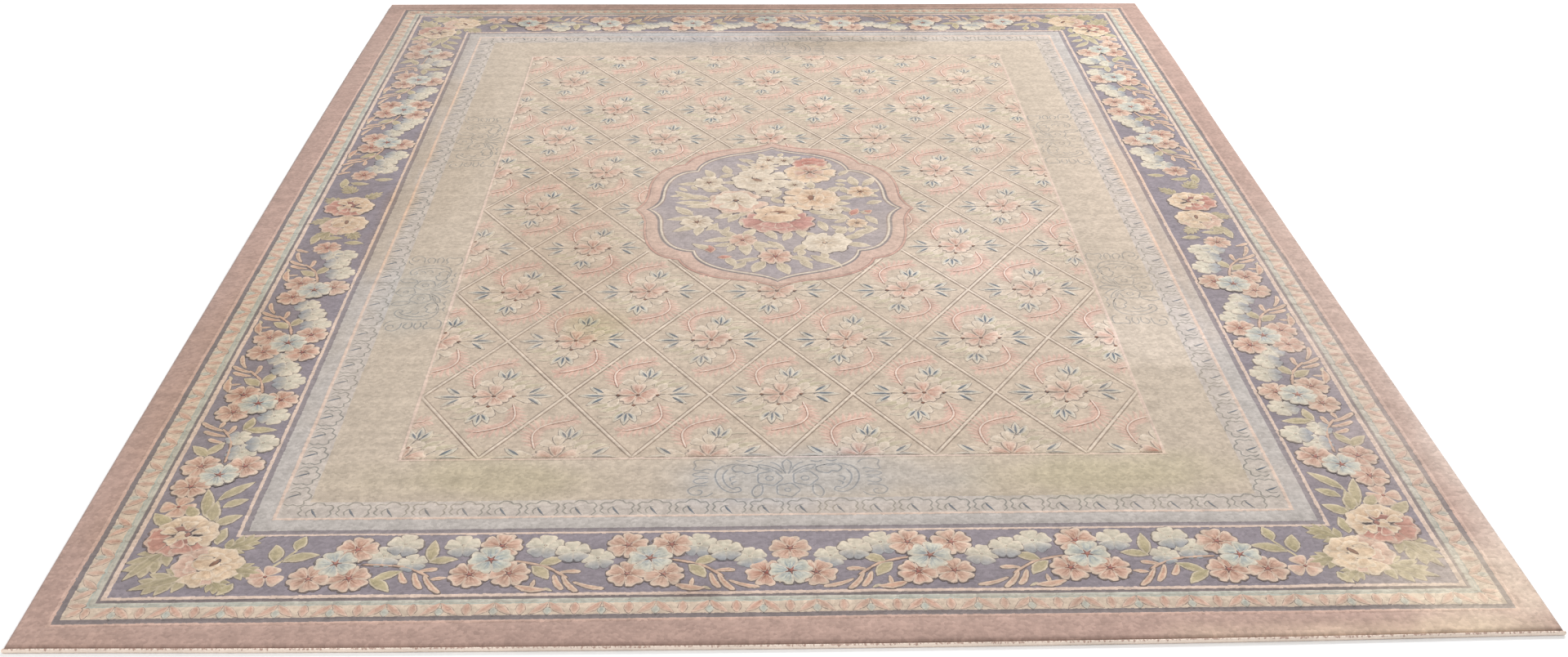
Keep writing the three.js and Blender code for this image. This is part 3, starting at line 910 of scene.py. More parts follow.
# Leaves of a garland: look, outline, root along, inward, tip along, inward, half width, bend
GARLAND_LEAVES = {
    "short": (
        ("olive", LEAF, 83, -8, 131, 13, 13, 4), ("olive", LEAF, 71, -9, 103, -51, 14, 3),
        ("peach", FINGER, 121, -31, 158, -29, 6.5, 3), ("peach", FINGER, 113, -36, 131, -82, 7, -4),
        ("peach", FINGER, 147, -58, 203, -80, 6, -5), ("peach", LEAF, 44, -66, 108, -80, 9, -7),
        ("peach", SMALL, 76, -80, 80, -50, 5, 0), ("olive", SMALL, 98, -76, 114, -86, 4, 0),
    ),
    "long": (
        ("olive", LEAF, 168, 6, 167, 76, 13, 0), ("olive", LEAF, 165, 5, 219, 14, 12, 3),
        ("olive", LEAF, 121, -21, 66, -54, 12, -3), ("olive", LEAF, 62, -42, 107, -84, 13, 3),
        ("peach", FINGER, 150, -24, 186, -16, 6.5, 2), ("peach", FINGER, 144, -25, 165, -76, 7, -4),
        ("peach", FINGER, 119, -24, 134, -58, 7, -3), ("peach", SMALL, 176, -47, 206, -42, 6, 0),
    ),
}
# Stem of a garland, along and inward, then the blade that it ends in
GARLAND_STEMS = {
    "short": ((40, 6), (84, -7), (112, -25), (134, -45)),
    "long": ((45, 0), (98, -4), (140, -17), (170, -38)),
}
BLADES = {"short": (128, -39, 157, -89), "long": (164, -33, 200, -89)}
# The border's own middle line, measured in from the edge, and how far bunches stand over garlands
BORDER_MIDDLE = 226
BUNCH_LIFT = 0.9


def run_of(bm, bunch, garland, stretch=1.0):
    """A bunch with the garland that leaves it: along the border towards the middle of the side."""
    for kind, along, inward, turn, size, lift in CLOUDS[garland]:
        stamp(bm, UNITS[kind], along * stretch, inward, turn, size, lift)
    stem(bm, [(u * stretch, v) for u, v in GARLAND_STEMS[garland]], 3.4, lift=0.5)
    u0, v0, u1, v1 = BLADES[garland]
    carve(bm, (u0 * stretch, v0), (u1 * stretch, v1), 6.5, "peach", FINGER, 1.2, 0.4, -5)
    for look, outline, u0, v0, u1, v1, half, bend in GARLAND_LEAVES[garland]:
        carve(bm, (u0 * stretch, v0), (u1 * stretch, v1), half, look, outline, 1.2, 0.2, bend)
    for kind, along, inward, turn, size, lift in BUNCHES[bunch]:
        stamp(bm, UNITS[kind], along, inward, turn, size, lift + BUNCH_LIFT)


RUNS = {
    "five short": unit(run_of, "five", "short"),
    "four short": unit(run_of, "four", "short", 1.06),
    "corner long": unit(run_of, "corner", "long"),
}
# The end borders stand this far to the right
BORDER_SHIFT = 4
# Runs of the end border: kind, place along from the middle
END_RUNS = (("five short", 262), ("four short", 558), ("corner long", 842))
# Runs of the side border: kind, place along from the middle
SIDE_RUNS = (("corner long", 1292), ("four short", 1016), ("five short", 746), ("four short", 478))

# Loose work at the corners, for the front left corner: kind, x, y, turn, size, lift
CORNER_BLOSSOMS = (
    ("serrated", -1170, -1548, 240, 1.16, 0.0), ("serrated", -1104, -1630, 203, 1.16, 0.0),
    ("serrated", -1052, -1608, -14, 0.86, 0.0), ("serrated", -1064, -1556, 36, 0.86, 0.0),
    ("serrated", -1072, -1632, -52, 0.76, 0.0),
    ("cream peony", -1078, -1603, -20, 1.03, 0.4), ("red peony", -1152, -1505, 10, 1.06, 1.0),
    ("loose blossom", -966, -1637, 0, 0.9, 0.0), ("loose blossom", -1192, -1408, 110, 0.95, 0.0),
)
# Leaves at the corners: look, outline, root x, y, tip x, y, half width, bend
CORNER_LEAVES = (
    ("olive", LEAF, -928, -1557, -918, -1511, 13, 2),
    ("olive", LEAF, -946, -1592, -880, -1571, 14, 5),
    ("olive", LEAF, -961, -1594, -970, -1537, 15, -3),
    ("olive", LEAF, -1182, -1475, -1232, -1428, 16, 3),
    ("olive", LEAF, -1148, -1452, -1178, -1403, 14, -3),
    ("olive", LEAF, -1110, -1462, -1122, -1392, 15, 3),
    ("olive", LEAF, -1106, -1474, -1058, -1438, 15, 3),
    ("olive", LEAF, -1082, -1535, -1078, -1480, 14, 3),
    ("olive", LEAF, -1132, -1444, -1152, -1345, 13, -3),
    ("olive", LEAF, -1122, -1388, -1064, -1322, 13, 3),
    ("olive", LEAF, -1106, -1412, -1061, -1384, 13, 3),
    ("olive", LEAF, -1020, -1655, -1042, -1690, 11, 3),
)
CORNER_STEMS = (
    ((-968, -1618), (-945, -1585), (-925, -1552)),
    ((-1104, -1470), (-1110, -1425), (-1122, -1388)),
)
# Work half-way along each side, for the left side: kind, x, y, turn, size, lift
MIDDLE_BLOSSOMS = (
    ("serrated", -1175, 40, 145, 0.75, 0.0), ("serrated", -1180, -60, 205, 0.7, 0.0),
    ("serrated", -1120, -140, -60, 0.62, 0.0), ("serrated", -1120, 75, 50, 0.62, 0.0),
    ("serrated", -1165, -130, 235, 0.72, 0.0), ("serrated", -1165, 110, 115, 0.72, 0.0),
    ("cream peony", -1142, -95, 20, 0.98, 0.4), ("red peony", -1150, 20, -10, 1.02, 1.0),
)
# The rest of the side border, mirrored to both halves: kind, x, y, turn, size, lift
SIDE_BLOSSOMS = (
    ("cloud", -1104, -285, -90, 1.05, 0.0), ("rose", -1158, -238, 30, 0.92, 0.1),
)
SIDE_LEAVES = (
    ("olive", LEAF, -1122, -208, -1070, -212, 12, 3), ("olive", LEAF, -1186, -186, -1130, -178, 12, 4),
    ("olive", LEAF, -1203, -150, -1205, -216, 13, 3), ("peach", FINGER, -1200, -262, -1234, -244, 7, 3),
)
# The bunch in the middle of each end: kind, x, inward, turn, size, lift
END_MIDDLE = (
    ("rose top", 0, 264, 0, 1.02, 0.0), ("rose", -45, 188, 30, 1.02, 0.1),
    ("rose", 47, 188, -30, 1.02, 0.2), ("sky", 0, 193, 10, 1.06, 1.0),
)
# Work that would stand in the medallion lies this far down in the pile instead
TUCKED_DOWN = 1.5


def lay_on_pile(bm, name, tucked=False):
    """Lays carved work on the swelling pile, right way up, as a piece of its own."""
    for vert in bm.verts:
        if tucked and inside_medallion(vert.co.x, vert.co.y):
            vert.co.z = PILE - TUCKED_DOWN
        vert.co.z += swell(vert.co.x, vert.co.y)
    bm.normal_update()
    bmesh.ops.reverse_faces(bm, faces=[face for face in bm.faces if face.normal.z < 0])
    return finish_piece(bm, name, carved_wool)


def end_quarter(bm):
    for kind, along in END_RUNS:
        stamp(bm, RUNS[kind], along, -HALF_Y + BORDER_MIDDLE, flip_x=True)


def side_quarter(bm):
    for kind, along in SIDE_RUNS:
        stamp(bm, RUNS[kind], -HALF_X + BORDER_MIDDLE, -along, 90, flip_y=True)
    loose_work(bm, CORNER_BLOSSOMS + SIDE_BLOSSOMS, CORNER_LEAVES + SIDE_LEAVES, CORNER_STEMS)


quarter = unit(end_quarter)
ends = new_piece()
for flip_y in (False, True):
    for flip_x in (False, True):
        stamp(ends, quarter, BORDER_SHIFT, 0, flip_x=flip_x, flip_y=flip_y)
    sign = 1 if flip_y else -1
    for kind, x, y, turn, size, lift in END_MIDDLE:
        stamp(ends, UNITS[kind], x + BORDER_SHIFT, sign * (HALF_Y - y), turn, size, lift, flip_y=flip_y)
end_border = lay_on_pile(ends, "end_border_blossoms")

quarter = unit(side_quarter)
middle = unit(loose_work, MIDDLE_BLOSSOMS)
sides = new_piece()
for flip_x in (False, True):
    for flip_y in (False, True):
        stamp(sides, quarter, 0, 0, flip_x=flip_x, flip_y=flip_y)
    stamp(sides, middle, 0, 0, flip_x=flip_x)
side_border = lay_on_pile(sides, "side_border_blossoms")

# Guard stripe of paired leaves, upright buds and a scalloped edging
# How far in it starts, the length of one repeat, and what the two corners take of a side
GUARD_OUTER = 71
GUARD_PITCH = 98.5
GUARD_CORNERS = 70
# look, outline, root along, inward, tip along, inward, half width, bend
GUARD_UNIT = (
    ("guard leaf", LEAF, -1, 33, -33, -2, 8.5, 2), ("guard leaf", LEAF, 1, 33, 33, -2, 8.5, -2),
    ("guard leaf", SMALL, 48.5, 31, 48.5, -3, 9.5, 0), ("guard teal", SMALL, 0, 18, 0, -4, 8, 0),
)
# Leaf across each corner and the bud beside it: root and tip, measured in from the rug's corner
GUARD_CORNER = (((103, 103), (79, 79)), ((111, 106), (111, 73)))
# Scallops of the edging: middles, half their length, how far inward, half width
SCALLOPS = (-24, 24)
SCALLOP = (25, 39, 5.6)


def guard_unit(bm):
    for look, outline, x0, y0, x1, y1, half, bend in GUARD_UNIT:
        carve(bm, (x0, y0), (x1, y1), half, look, outline, 1.0, 0.0, bend, vein=0.55, line=1.8, cut=0.8,
              rim_highlight=0.3)
    long, inward, wide = SCALLOP
    for x in SCALLOPS:
        root, tip = (x - long, inward), (x + long, inward)
        carve(bm, root, tip, wide, "guard teal", ARC, 0.7, 0.0, -1.5, line=1.0, cut=0.2, rim_highlight=0.2)


def along_sides(bm, mesh, inset, pitch, spare=0.0):
    """Repeats a unit along all four sides, a whole number of times between the corners."""
    for reach, across, turn in ((HALF_X, HALF_Y, 0), (HALF_Y, HALF_X, 90)):
        run = 2 * (reach - inset) - spare
        count = round(run / pitch)
        step = run / count
        for k in range(count):
            x = -run / 2 + (k + 0.5) * step
            for half_turn in (0, 180):
                spin = Matrix.Rotation(math.radians(turn + half_turn), 2)
                place = spin @ Vector((x, -(across - inset)))
                stamp(bm, mesh, place.x, place.y, turn + half_turn)


guard = new_piece()
along_sides(guard, unit(guard_unit), GUARD_OUTER + 5, GUARD_PITCH, GUARD_CORNERS)
for turn in (0, 90, 180, 270):
    corner = Vector((-HALF_X, -HALF_Y) if turn % 180 == 0 else (-HALF_Y, -HALF_X))
    spin = Matrix.Rotation(math.radians(turn), 2)
    for root, tip in GUARD_CORNER:
        root, tip = spin @ (corner + Vector(root)), spin @ (corner + Vector(tip))
        carve(guard, root, tip, 8.5, "guard leaf", SMALL, 1.0, vein=0.55, line=1.8, rim_highlight=0.3)
guard_stripe = lay_on_pile(guard, "guard_stripe_leaves")

# Wave-leaf band, cut in the plain pile as outlines
# The length of one repeat, the band's middle measured in from the edge, and what its corners take
WAVE_PITCH = 73.5
WAVE_MIDDLE = 406
WAVE_CORNERS = 18
WAVE_LOBE = (
    (-25, -21), (-34, -12), (-29, -1), (-34, 8), (-26, 17), (-14, 15), (-5, 25), (9, 22), (15, 14),
    (26, 16), (32, 5), (27, -5), (31, -14), (24, -24),
)
WAVE_INNER = ((-15, -20), (-19, -10), (-13, 0), (-4, 2))
# Ground, lips painted lighter as highlights, bottom painted darker as shade
WAVE_GROOVE = carved_groove("c6bab0", "d0c6bb", "969089")


def wave_unit(bm):
    line_work(bm, curve(WAVE_LOBE, 2), 3.4, WAVE_GROOVE)
    line_work(bm, curve(WAVE_INNER, 2), 3.0, WAVE_GROOVE)
    carve(bm, (-11, 4), (4, -24), 2.3, "blue stroke", LEAF, 0.5, bend=-1, line=0.8, cut=0.3, rim_highlight=0.0)


waves = new_piece()
along_sides(waves, unit(wave_unit), WAVE_MIDDLE, WAVE_PITCH, WAVE_CORNERS)
wave_band = lay_on_pile(waves, "wave_leaf_band")

# Scroll cartouches on the plain field, cut as outlines: one half, mirrored
# Ground, lips painted lighter as highlights, bottom painted darker as shade
SCROLL_GROOVE = carved_groove("c6b6a4", "d0c2b1", "9f978e")
SCROLL_LINES = (
    ((0, 66), (9, 52), (7, 30), (3, 12)),
    ((6, 20), (14, 38), (24, 50), (34, 56)),
    ((10, 16), (22, 30), (40, 42), (58, 46), (52, 34), (34, 30), (16, 14)),
    ((22, 22), (48, 30), (80, 46), (112, 48), (128, 40)),
    ((48, 62), (62, 56), (74, 62)),
    ((80, 64), (92, 58), (104, 64)),
    ((74, 16), (62, 22), (60, 36), (74, 44), (90, 42), (102, 46), (112, 34), (104, 20), (92, 22),
     (84, 14), (74, 16)),
    ((128, 44), (140, 30), (146, 8), (142, -18), (130, -42), (112, -54), (94, -48), (98, -36),
     (108, -38)),
    ((120, 30), (130, 10), (128, -14), (118, -34), (104, -44)),
    ((104, 4), (116, -2), (114, -14)),
    ((102, -14), (112, -20), (110, -28)),
    ((146, 52), (156, 64), (178, 66), (190, 60), (186, 44), (190, 30), (176, 26), (164, 32),
     (154, 28)),
    ((158, 16), (176, 20), (192, 12), (180, 4), (160, 6)),
    ((158, -4), (178, -2), (190, -12), (178, -22), (160, -14)),
    ((160, -28), (186, -30), (200, -44), (192, -60), (176, -60), (172, -48), (182, -44)),
    ((150, -54), (162, -66), (176, -68)),
    ((52, -26), (64, -32), (72, -52), (66, -70), (54, -62), (50, -44), (52, -26)),
)
# Lobed rounds of a scroll: x, y, radius, radius of the eye in it
SCROLL_ROUNDS = ((36, -4, 25, 8), (0, -46, 23, 6))
SCROLL_HALF = 3.6
EYE_HALF = 3.2
LOBE_DEPTH = 0.09


def scroll_unit(bm):
    for sign in (1, -1):
        for places in SCROLL_LINES:
            line_work(bm, curve([(x * sign, y) for x, y in places], 3), SCROLL_HALF, SCROLL_GROOVE)
        for x, y, radius, eye in SCROLL_ROUNDS:
            if x == 0 and sign == -1:
                continue
            middle = Vector((x * sign, y))
            lobes = [1 + LOBE_DEPTH * math.cos(math.radians(90 * k)) for k in range(21)]
            outer = [middle + polar(18 * k, radius * lobe) for k, lobe in enumerate(lobes)]
            line_work(bm, outer, SCROLL_HALF, SCROLL_GROOVE)
            line_work(bm, [middle + polar(36 * k, eye) for k in range(11)], EYE_HALF, SCROLL_GROOVE)


# How far right the end scrolls stand, how far in from the edge, and how far from the middle of a side
SCROLL_SHIFT = 5
SCROLL_INSET = 507
SCROLL_ALONG_SIDE = 490
scrolls = new_piece()
scroll = unit(scroll_unit)
for x, y, turn in ((SCROLL_SHIFT, -HALF_Y + SCROLL_INSET, 0), (SCROLL_SHIFT, HALF_Y - SCROLL_INSET, 180)):
    stamp(scrolls, scroll, x, y, turn)
for sign in (-1, 1):
    for y in (-SCROLL_ALONG_SIDE, SCROLL_ALONG_SIDE):
        stamp(scrolls, scroll, sign * (HALF_X - SCROLL_INSET), y, 90 * sign)
field_scrolls = lay_on_pile(scrolls, "field_scrolls")

# Medallion: two outlines of a quarter, end first, each a run of curves with their pull points
MEDALLION_AT = (3, -8)
GROUND_LINE = (
    ((0, -430), (22, -405), (75, -389)), ((75, -389), (160, -364), (205, -322), (212, -260)),
    ((212, -260), (275, -254), (303, -187), (303, -90)), ((303, -90), (303, -32), (338, 0)),
)
OUTER_LINE = (
    ((0, -478), (25, -447), (85, -432)), ((85, -432), (180, -418), (235, -375), (252, -312)),
    ((252, -312), (320, -300), (350, -220), (350, -105)), ((350, -105), (352, -40), (380, 0)),
)
OUTLINE_STEPS = 11
# The "cut" colour is painted shade in the carved lines between the rings
MEDALLION_WOOL_AND_SHADE = {
    "rose line": "c59a8b", "cut": "94807a", "rose band": "ccae9f", "slate line": "83797b",
    "cream line": "dccdbb", "ground": "a59a9c",
}
# Rings from the outside in: outline, inset from it, height, colour
MEDALLION_RINGS = (
    ("outer", -3, -0.3, "cut"), ("outer", -1, 0.2, "cut"), ("outer", 1, 0.9, "rose line"),
    ("outer", 5, 1.0, "rose line"), ("outer", 7, 0.35, "cut"), ("outer", 9, 1.0, "rose band"),
    ("outer", 20, 1.15, "rose band"), ("ground", -13, 1.05, "rose band"),
    ("ground", -10, 0.4, "slate line"), ("ground", -5.5, 0.4, "slate line"),
    ("ground", -4, 1.2, "cream line"), ("ground", 0.5, 1.2, "cream line"), ("ground", 3, 0.3, "cut"),
    ("ground", 7, 0.45, "ground"), ("ground", 60, 0.45, "ground"), ("ground", 120, 0.45, "ground"),
    ("ground", 180, 0.45, "ground"), ("ground", 240, 0.45, "ground"),
    ("ground", 500, 0.45, "ground"),
)


def bezier(points, share):
    """A point on a curve with pull points."""
    points = [Vector(point) for point in points]
    while len(points) > 1:
        points = [a.lerp(b, share) for a, b in zip(points, points[1:])]
    return points[0]


def outline_points(segments):
    """The whole outline: the quarter mirrored to all four, without doubles, going round."""
    quarter = [bezier(segment, k / OUTLINE_STEPS) for segment in segments for k in range(OUTLINE_STEPS)]
    side = bezier(segments[-1], 1)
    right_front = quarter + [side]
    right_back = [Vector((p.x, -p.y)) for p in reversed(quarter)]
    right = right_front + right_back
    left = [Vector((-p.x, p.y)) for p in reversed(right[1:-1])]
    return right + left


OUTLINES = {"outer": outline_points(OUTER_LINE), "ground": outline_points(GROUND_LINE)}


def inside_medallion(x, y):
    """True if a point lies inside the medallion's outer line."""
    x, y = abs(x - MEDALLION_AT[0]), abs(y - MEDALLION_AT[1])
    quarter = OUTLINES["outer"][:4 * OUTLINE_STEPS + 1]
    if x > quarter[-1].x or y > -quarter[0].y:
        return False
    angle = math.atan2(y, x)
    nearest = min(quarter, key=lambda p: abs(math.atan2(-p.y, p.x) - angle))
    return math.hypot(x, y) < nearest.length - 2


def medallion_ground(bm):
    """A grid rolled round the middle, one row for each ring, closed at the seam and in the middle."""
    around = len(OUTLINES["outer"])
    rings = len(MEDALLION_RINGS) - 1
    for vert in bmesh.ops.create_grid(bm, x_segments=around, y_segments=rings, size=1)["verts"]:
        i = round((vert.co.x + 1) / 2 * around) % around
        outline, inset, height, colour = MEDALLION_RINGS[round((vert.co.y + 1) / 2 * rings)]
        point = OUTLINES[outline][i]
        point = point * max(0, 1 - inset / point.length)
        vert.co = (point.x + MEDALLION_AT[0], point.y + MEDALLION_AT[1], PILE + height)
        paint(bm, vert, linear(MEDALLION_WOOL_AND_SHADE[colour]))
    bmesh.ops.remove_doubles(bm, verts=bm.verts, dist=0.01)


ground = new_piece()
medallion_ground(ground)
medallion = lay_on_pile(ground, "medallion_ground")

# Leaves of the bouquet: root x, y, tip x, y, half width, bend
BOUQUET_LEAVES = (
    (-195, 55, -272, 116, 16, 5), (-185, 35, -268, 38, 15, 4), (-170, 50, -232, 88, 13, -3),
    (-216, -48, -266, 12, 17, 4), (-165, 5, -238, 8, 14, -4), (-195, -72, -288, -76, 15, -5),
    (-200, -105, -270, -150, 15, 3), (-190, -112, -205, -178, 14, -3),
    (-180, -100, -148, -150, 13, 3), (-90, -195, -148, -135, 16, 4), (-95, -200, -186, -212, 15, -5),
    (-85, -200, -46, -132, 16, 3), (-85, -212, -74, -298, 18, 3), (-70, -210, 4, -250, 16, -4),
    (-30, -140, 6, -204, 15, 3), (-26, -328, -58, -396, 18, -3), (4, -336, 32, -408, 18, 3),
    (-40, -312, -104, -328, 12, 3), (30, -306, 98, -328, 14, 3), (60, -318, 92, -378, 14, 3),
    (90, -296, 166, -348, 17, -5), (48, -282, 98, -222, 15, 4), (168, -180, 192, -126, 16, 3),
    (176, -200, 240, -168, 15, -3), (205, -182, 278, -136, 15, 4), (185, -232, 250, -246, 15, 3),
    (118, -58, 186, -76, 15, 3), (118, -88, 138, -156, 14, 3), (60, -128, 76, -194, 15, 4),
    (150, 95, 192, 138, 16, 3), (112, 122, 108, 178, 14, 3), (140, 188, 172, 246, 14, -3),
    (172, 52, 230, 68, 15, 3), (238, 142, 222, 212, 16, 3), (252, 142, 288, 204, 15, -3),
    (208, 95, 196, 140, 13, 3), (256, 20, 302, 38, 14, 3), (246, -56, 276, -112, 14, 3),
    (215, -30, 182, 6, 13, 3), (-168, 198, -190, 264, 15, -4), (-116, 228, -134, 294, 15, 3),
    (-200, 170, -266, 162, 13, 3), (-150, 205, -106, 226, 13, 3), (46, 118, 60, 180, 15, 3),
    (-152, -262, -216, -224, 14, 4), (-128, -306, -104, -362, 14, 3), (140, 250, 182, 226, 15, 3),
    (-48, 322, -96, 342, 13, 3), (50, 338, 88, 356, 11, 3), (-150, 110, -196, 132, 13, 3),
    (40, 250, 58, 214, 13, 3), (228, 62, 276, 88, 13, 3), (-40, 240, -88, 270, 13, 3),
    (-110, -30, -160, -70, 15, 3), (-90, -40, -122, -96, 15, -3), (-60, -20, -104, -58, 13, 3),
    (-84, -60, -88, -118, 13, 3), (-122, 100, -146, 152, 14, 3), (-60, 112, -66, 160, 13, -3),
    (0, 60, 26, 112, 14, 3), (30, 30, -6, 62, 13, 3), (96, -20, 146, -44, 13, -3),
    (150, 20, 214, 22, 14, 3), (160, -40, 206, -84, 13, 3), (60, 190, 34, 232, 13, 3),
    (-96, 170, -140, 176, 12, 3), (150, -120, 200, -146, 13, -3), (40, -150, 22, -212, 14, 3),
    (84, -160, 106, -196, 12, 3), (-20, -212, 26, -268, 13, 3), (176, 176, 214, 176, 11, 3),
    (-240, 92, -286, 78, 9, 2), (-236, 112, -262, 142, 9, 2), (-222, 66, -262, 60, 9, 2),
    (-208, 120, -226, 150, 9, 2), (-150, -96, -182, -146, 11, 3), (-120, -120, -140, -170, 10, 2),
    (-216, -24, -248, -34, 9, 2), (-56, -232, -28, -288, 12, 3), (-110, -232, -124, -276, 12, 3),
    (-108, -222, -160, -240, 12, 3), (190, 214, 222, 256, 11, 3), (164, 262, 168, 310, 11, 3),
    (206, 150, 176, 160, 10, 2), (270, 96, 300, 118, 10, 2), (262, 84, 292, 66, 10, 2),
    (232, -30, 262, -46, 10, 2), (196, -76, 160, -100, 11, 2), (236, -120, 268, -150, 11, 2),
    (206, -124, 200, -162, 11, 2), (70, -262, 60, -304, 12, 3), (120, -280, 130, -322, 12, 3),
    (-64, 268, -100, 306, 11, 3), (-136, 140, -176, 132, 10, 2), (-130, 60, -204, 20, 13, 2),
    (24, 356, 34, 384, 10, 2), (-20, 356, -34, 382, 10, 2), (-76, -330, -110, -376, 12, 3),
    (130, -330, 168, -366, 12, 3),
)
# Buds of the bouquet: root x, y, tip x, y, half width, bend
BOUQUET_BUDS = (
    (-166, -280, -172, -234, 15, 0), (-150, -308, -110, -304, 12, 0), (208, -56, 230, -10, 14, 0),
    (240, -46, 268, -20, 13, 0),
)
# Blossoms of the bouquet: kind, x, y, turn, size, lift
BOUQUET_BLOSSOMS = (
    ("cream blossom", -206, -92, 10, 1.15, 0.2), ("cream blossom", -178, 170, 0, 1.15, 0.2),
    ("gold blossom", 244, 102, 20, 1.0, 0.2), ("gold blossom", 222, -104, 40, 0.75, 0.2),
    ("cream blossom", 58, 2, 12, 0.8, 0.3), ("cream blossom", -14, 108, 30, 0.95, 0.1),
    ("cream blossom", 62, 150, 0, 0.85, 0.1), ("cream blossom", 158, -18, 30, 0.85, 0.2),
    ("peach blossom", -84, -206, 30, 0.98, 0.4), ("cream blossom", -8, 330, 0, 0.9, 0.2),
    ("cream blossom", 36, 324, 36, 0.85, 0.3), ("peach blossom", 0, -304, 0, 1.14, 0.5),
    ("spiky", -28, 280, 0, 1.12, 0.3), ("pale bloom", 130, -226, 20, 1.02, 0.4),
    ("peach bloom", 108, 240, 40, 0.98, 0.3), ("red bloom", 112, 304, 0, 1.0, 0.9),
    ("pale peony", -36, 190, 140, 1.14, 0.5), ("blush bloom", -102, 44, 0, 1.26, 0.5),
    ("gold peony", 114, 58, 80, 1.24, 0.6), ("big rose", 10, -74, 0, 1.0, 0.7),
)
# How far the whole bouquet stands over the medallion's ground
BOUQUET_RAISE = 0.45

bouquet = new_piece()
for look, leaves in (("medal leaf", BOUQUET_LEAVES), ("bloom red", BOUQUET_BUDS)):
    for x0, y0, x1, y1, half, bend in leaves:
        carve(bouquet, (x0, y0), (x1, y1), half, look, bend=bend, vein=0.6)
loose_work(bouquet, BOUQUET_BLOSSOMS)
bmesh.ops.translate(bouquet, vec=(0, 0, BOUQUET_RAISE), verts=bouquet.verts)
medallion_bouquet = lay_on_pile(bouquet, "medallion_bouquet")

# Lattice: width and length of a diamond, then what its lines are like and how they are numbered
CELL_X = 314.8
CELL_Y = 497.2
# Sides painted with the shade beside the raised lines, tops in the cream wool
LATTICE_LINE = raised_line("998576", "e0cfbd")
LATTICE_HALF = 6.2
LATTICE_COUNTS = range(-9, 10, 2)
LATTICE_STEPS = 110
LATTICE_END = PANEL_Y + 8
# Near the panel's line the work fades into the plain pile, and the cut edge lies down on it
TRIM_FADE = 7
TRIM_FADE_MOST = 0.8
TRIM_EDGE = 0.3
TRIM_HIGH = 0.05


def trim_to_panel(bm):
    """Cuts off what crosses the panel's line, and brings the cut edge down to the pile."""
    sides = (((1, 0, 0), PANEL_X), ((-1, 0, 0), PANEL_X), ((0, 1, 0), PANEL_Y), ((0, -1, 0), PANEL_Y))
    for normal, reach in sides:
        bmesh.ops.bisect_plane(bm, geom=bm.verts[:] + bm.edges[:] + bm.faces[:],
                               plane_co=[c * reach for c in normal], plane_no=normal, clear_outer=True)
    dye_and_painted_light = bm.verts.layers.float_color["dye_and_painted_light"]
    for vert in bm.verts:
        from_edge = min(PANEL_X - abs(vert.co.x), PANEL_Y - abs(vert.co.y))
        if from_edge < TRIM_EDGE:
            vert.co.z = min(vert.co.z, PILE + TRIM_HIGH)
        if from_edge < TRIM_FADE:
            fade = 1 - max(from_edge, 0) / TRIM_FADE
            plain = mix(vert[dye_and_painted_light][:3], linear(WOOL["panel"]), TRIM_FADE_MOST * fade)
            vert[dye_and_painted_light] = (*plain, vert[dye_and_painted_light][3] * (1 - fade))


lattice = new_piece()
for slope in (1, -1):
    for k in LATTICE_COUNTS:
        # The line x / half a cell + slope * y / half a cell = k, from one end of the panel to the other
        line = []
        for step in range(LATTICE_STEPS + 1):
            y = -LATTICE_END + 2 * LATTICE_END * step / LATTICE_STEPS
            line.append(Vector(((k - slope * y / (CELL_Y / 2)) * CELL_X / 2, y)))
        line_work(lattice, line, LATTICE_HALF, LATTICE_LINE)
trim_to_panel(lattice)
lattice_lines = lay_on_pile(lattice, "lattice_lines", tucked=True)

# The spray in each diamond, point-symmetric: one half, turned round
# look, outline, root x, y, tip x, y, half width, bend, lift
SPRAY_HALF = (
    ("panel green", LEAF, 34, 36, 80, 68, 11, 5, 0.0),
    ("panel green", LEAF, 50, 28, 110, 50, 10, 6, 0.0),
    ("panel green", LEAF, 26, 58, 48, 110, 9, -3, 0.0),
    ("panel green", FINGER, 28, 78, 82, 88, 3.6, 7, 0.1),
    ("panel cream", BROAD, 44, 5, 86, 24, 14, 0, 0.1),
    ("panel cream", BROAD, 44, -4, 88, -20, 14, 0, 0.2),
    ("panel cream", BROAD, 40, 12, 60, 50, 13, 0, 0.15),
    ("panel cream", BROAD, 3, 40, 38, 64, 13, 0, 0.1),
    ("panel cream", BROAD, 2, 42, 2, 86, 14, 0, 0.3),
    ("panel cream", BROAD, 0, 40, -34, 64, 13, 0, 0.1),
    ("panel blue", LEAF, 72, 2, 130, 0, 9, 0, 0.3),
    ("panel blue", LEAF, 70, 8, 110, 42, 8.5, -2, 0.2),
    ("panel blue", LEAF, 70, -6, 108, -38, 8.5, 2, 0.2),
    ("panel blue", LEAF, 18, 72, 0, 112, 8.5, 2, 0.3),
    ("panel blue", LEAF, 22, 74, 24, 122, 9, 0, 0.5),
    ("panel blue", LEAF, 26, 72, 46, 110, 8.5, -2, 0.3),
)
# Brushed dark strokes down the middle of the blue leaves: root x, y, tip x, y, half width
SPRAY_STROKES = (
    (76, 3, 116, 2, 3.2), (76, 12, 98, 34, 3.0), (76, -10, 100, -34, 3.0), (21, 78, 23, 112, 3.2),
    (16, 78, 6, 98, 2.6), (28, 78, 40, 98, 2.6),
)
# Dark dots where the petals meet the leaves, then the fern that curls round the flower
SPRAY_DOTS = ((43, 0), (7, 43))
FERN_STEM = ((-46, 34), (-54, 68), (-54, 96), (-38, 122), (-8, 138), (24, 148))
FERN_LEAFLET = 36
# The cut round each leaflet is painted this pink brown, as its shade
FERN_CUT_SHADE = "a57867"
FERN_HALF = 3.8
# A leaflet: least share of the full length, what the middle adds, its way along and out, half width
LEAFLET_LEAST = 0.55
LEAFLET_SWELL = 0.45
LEAFLET_WAY = (0.62, 0.78)
LEAFLET_HALF = 4.2
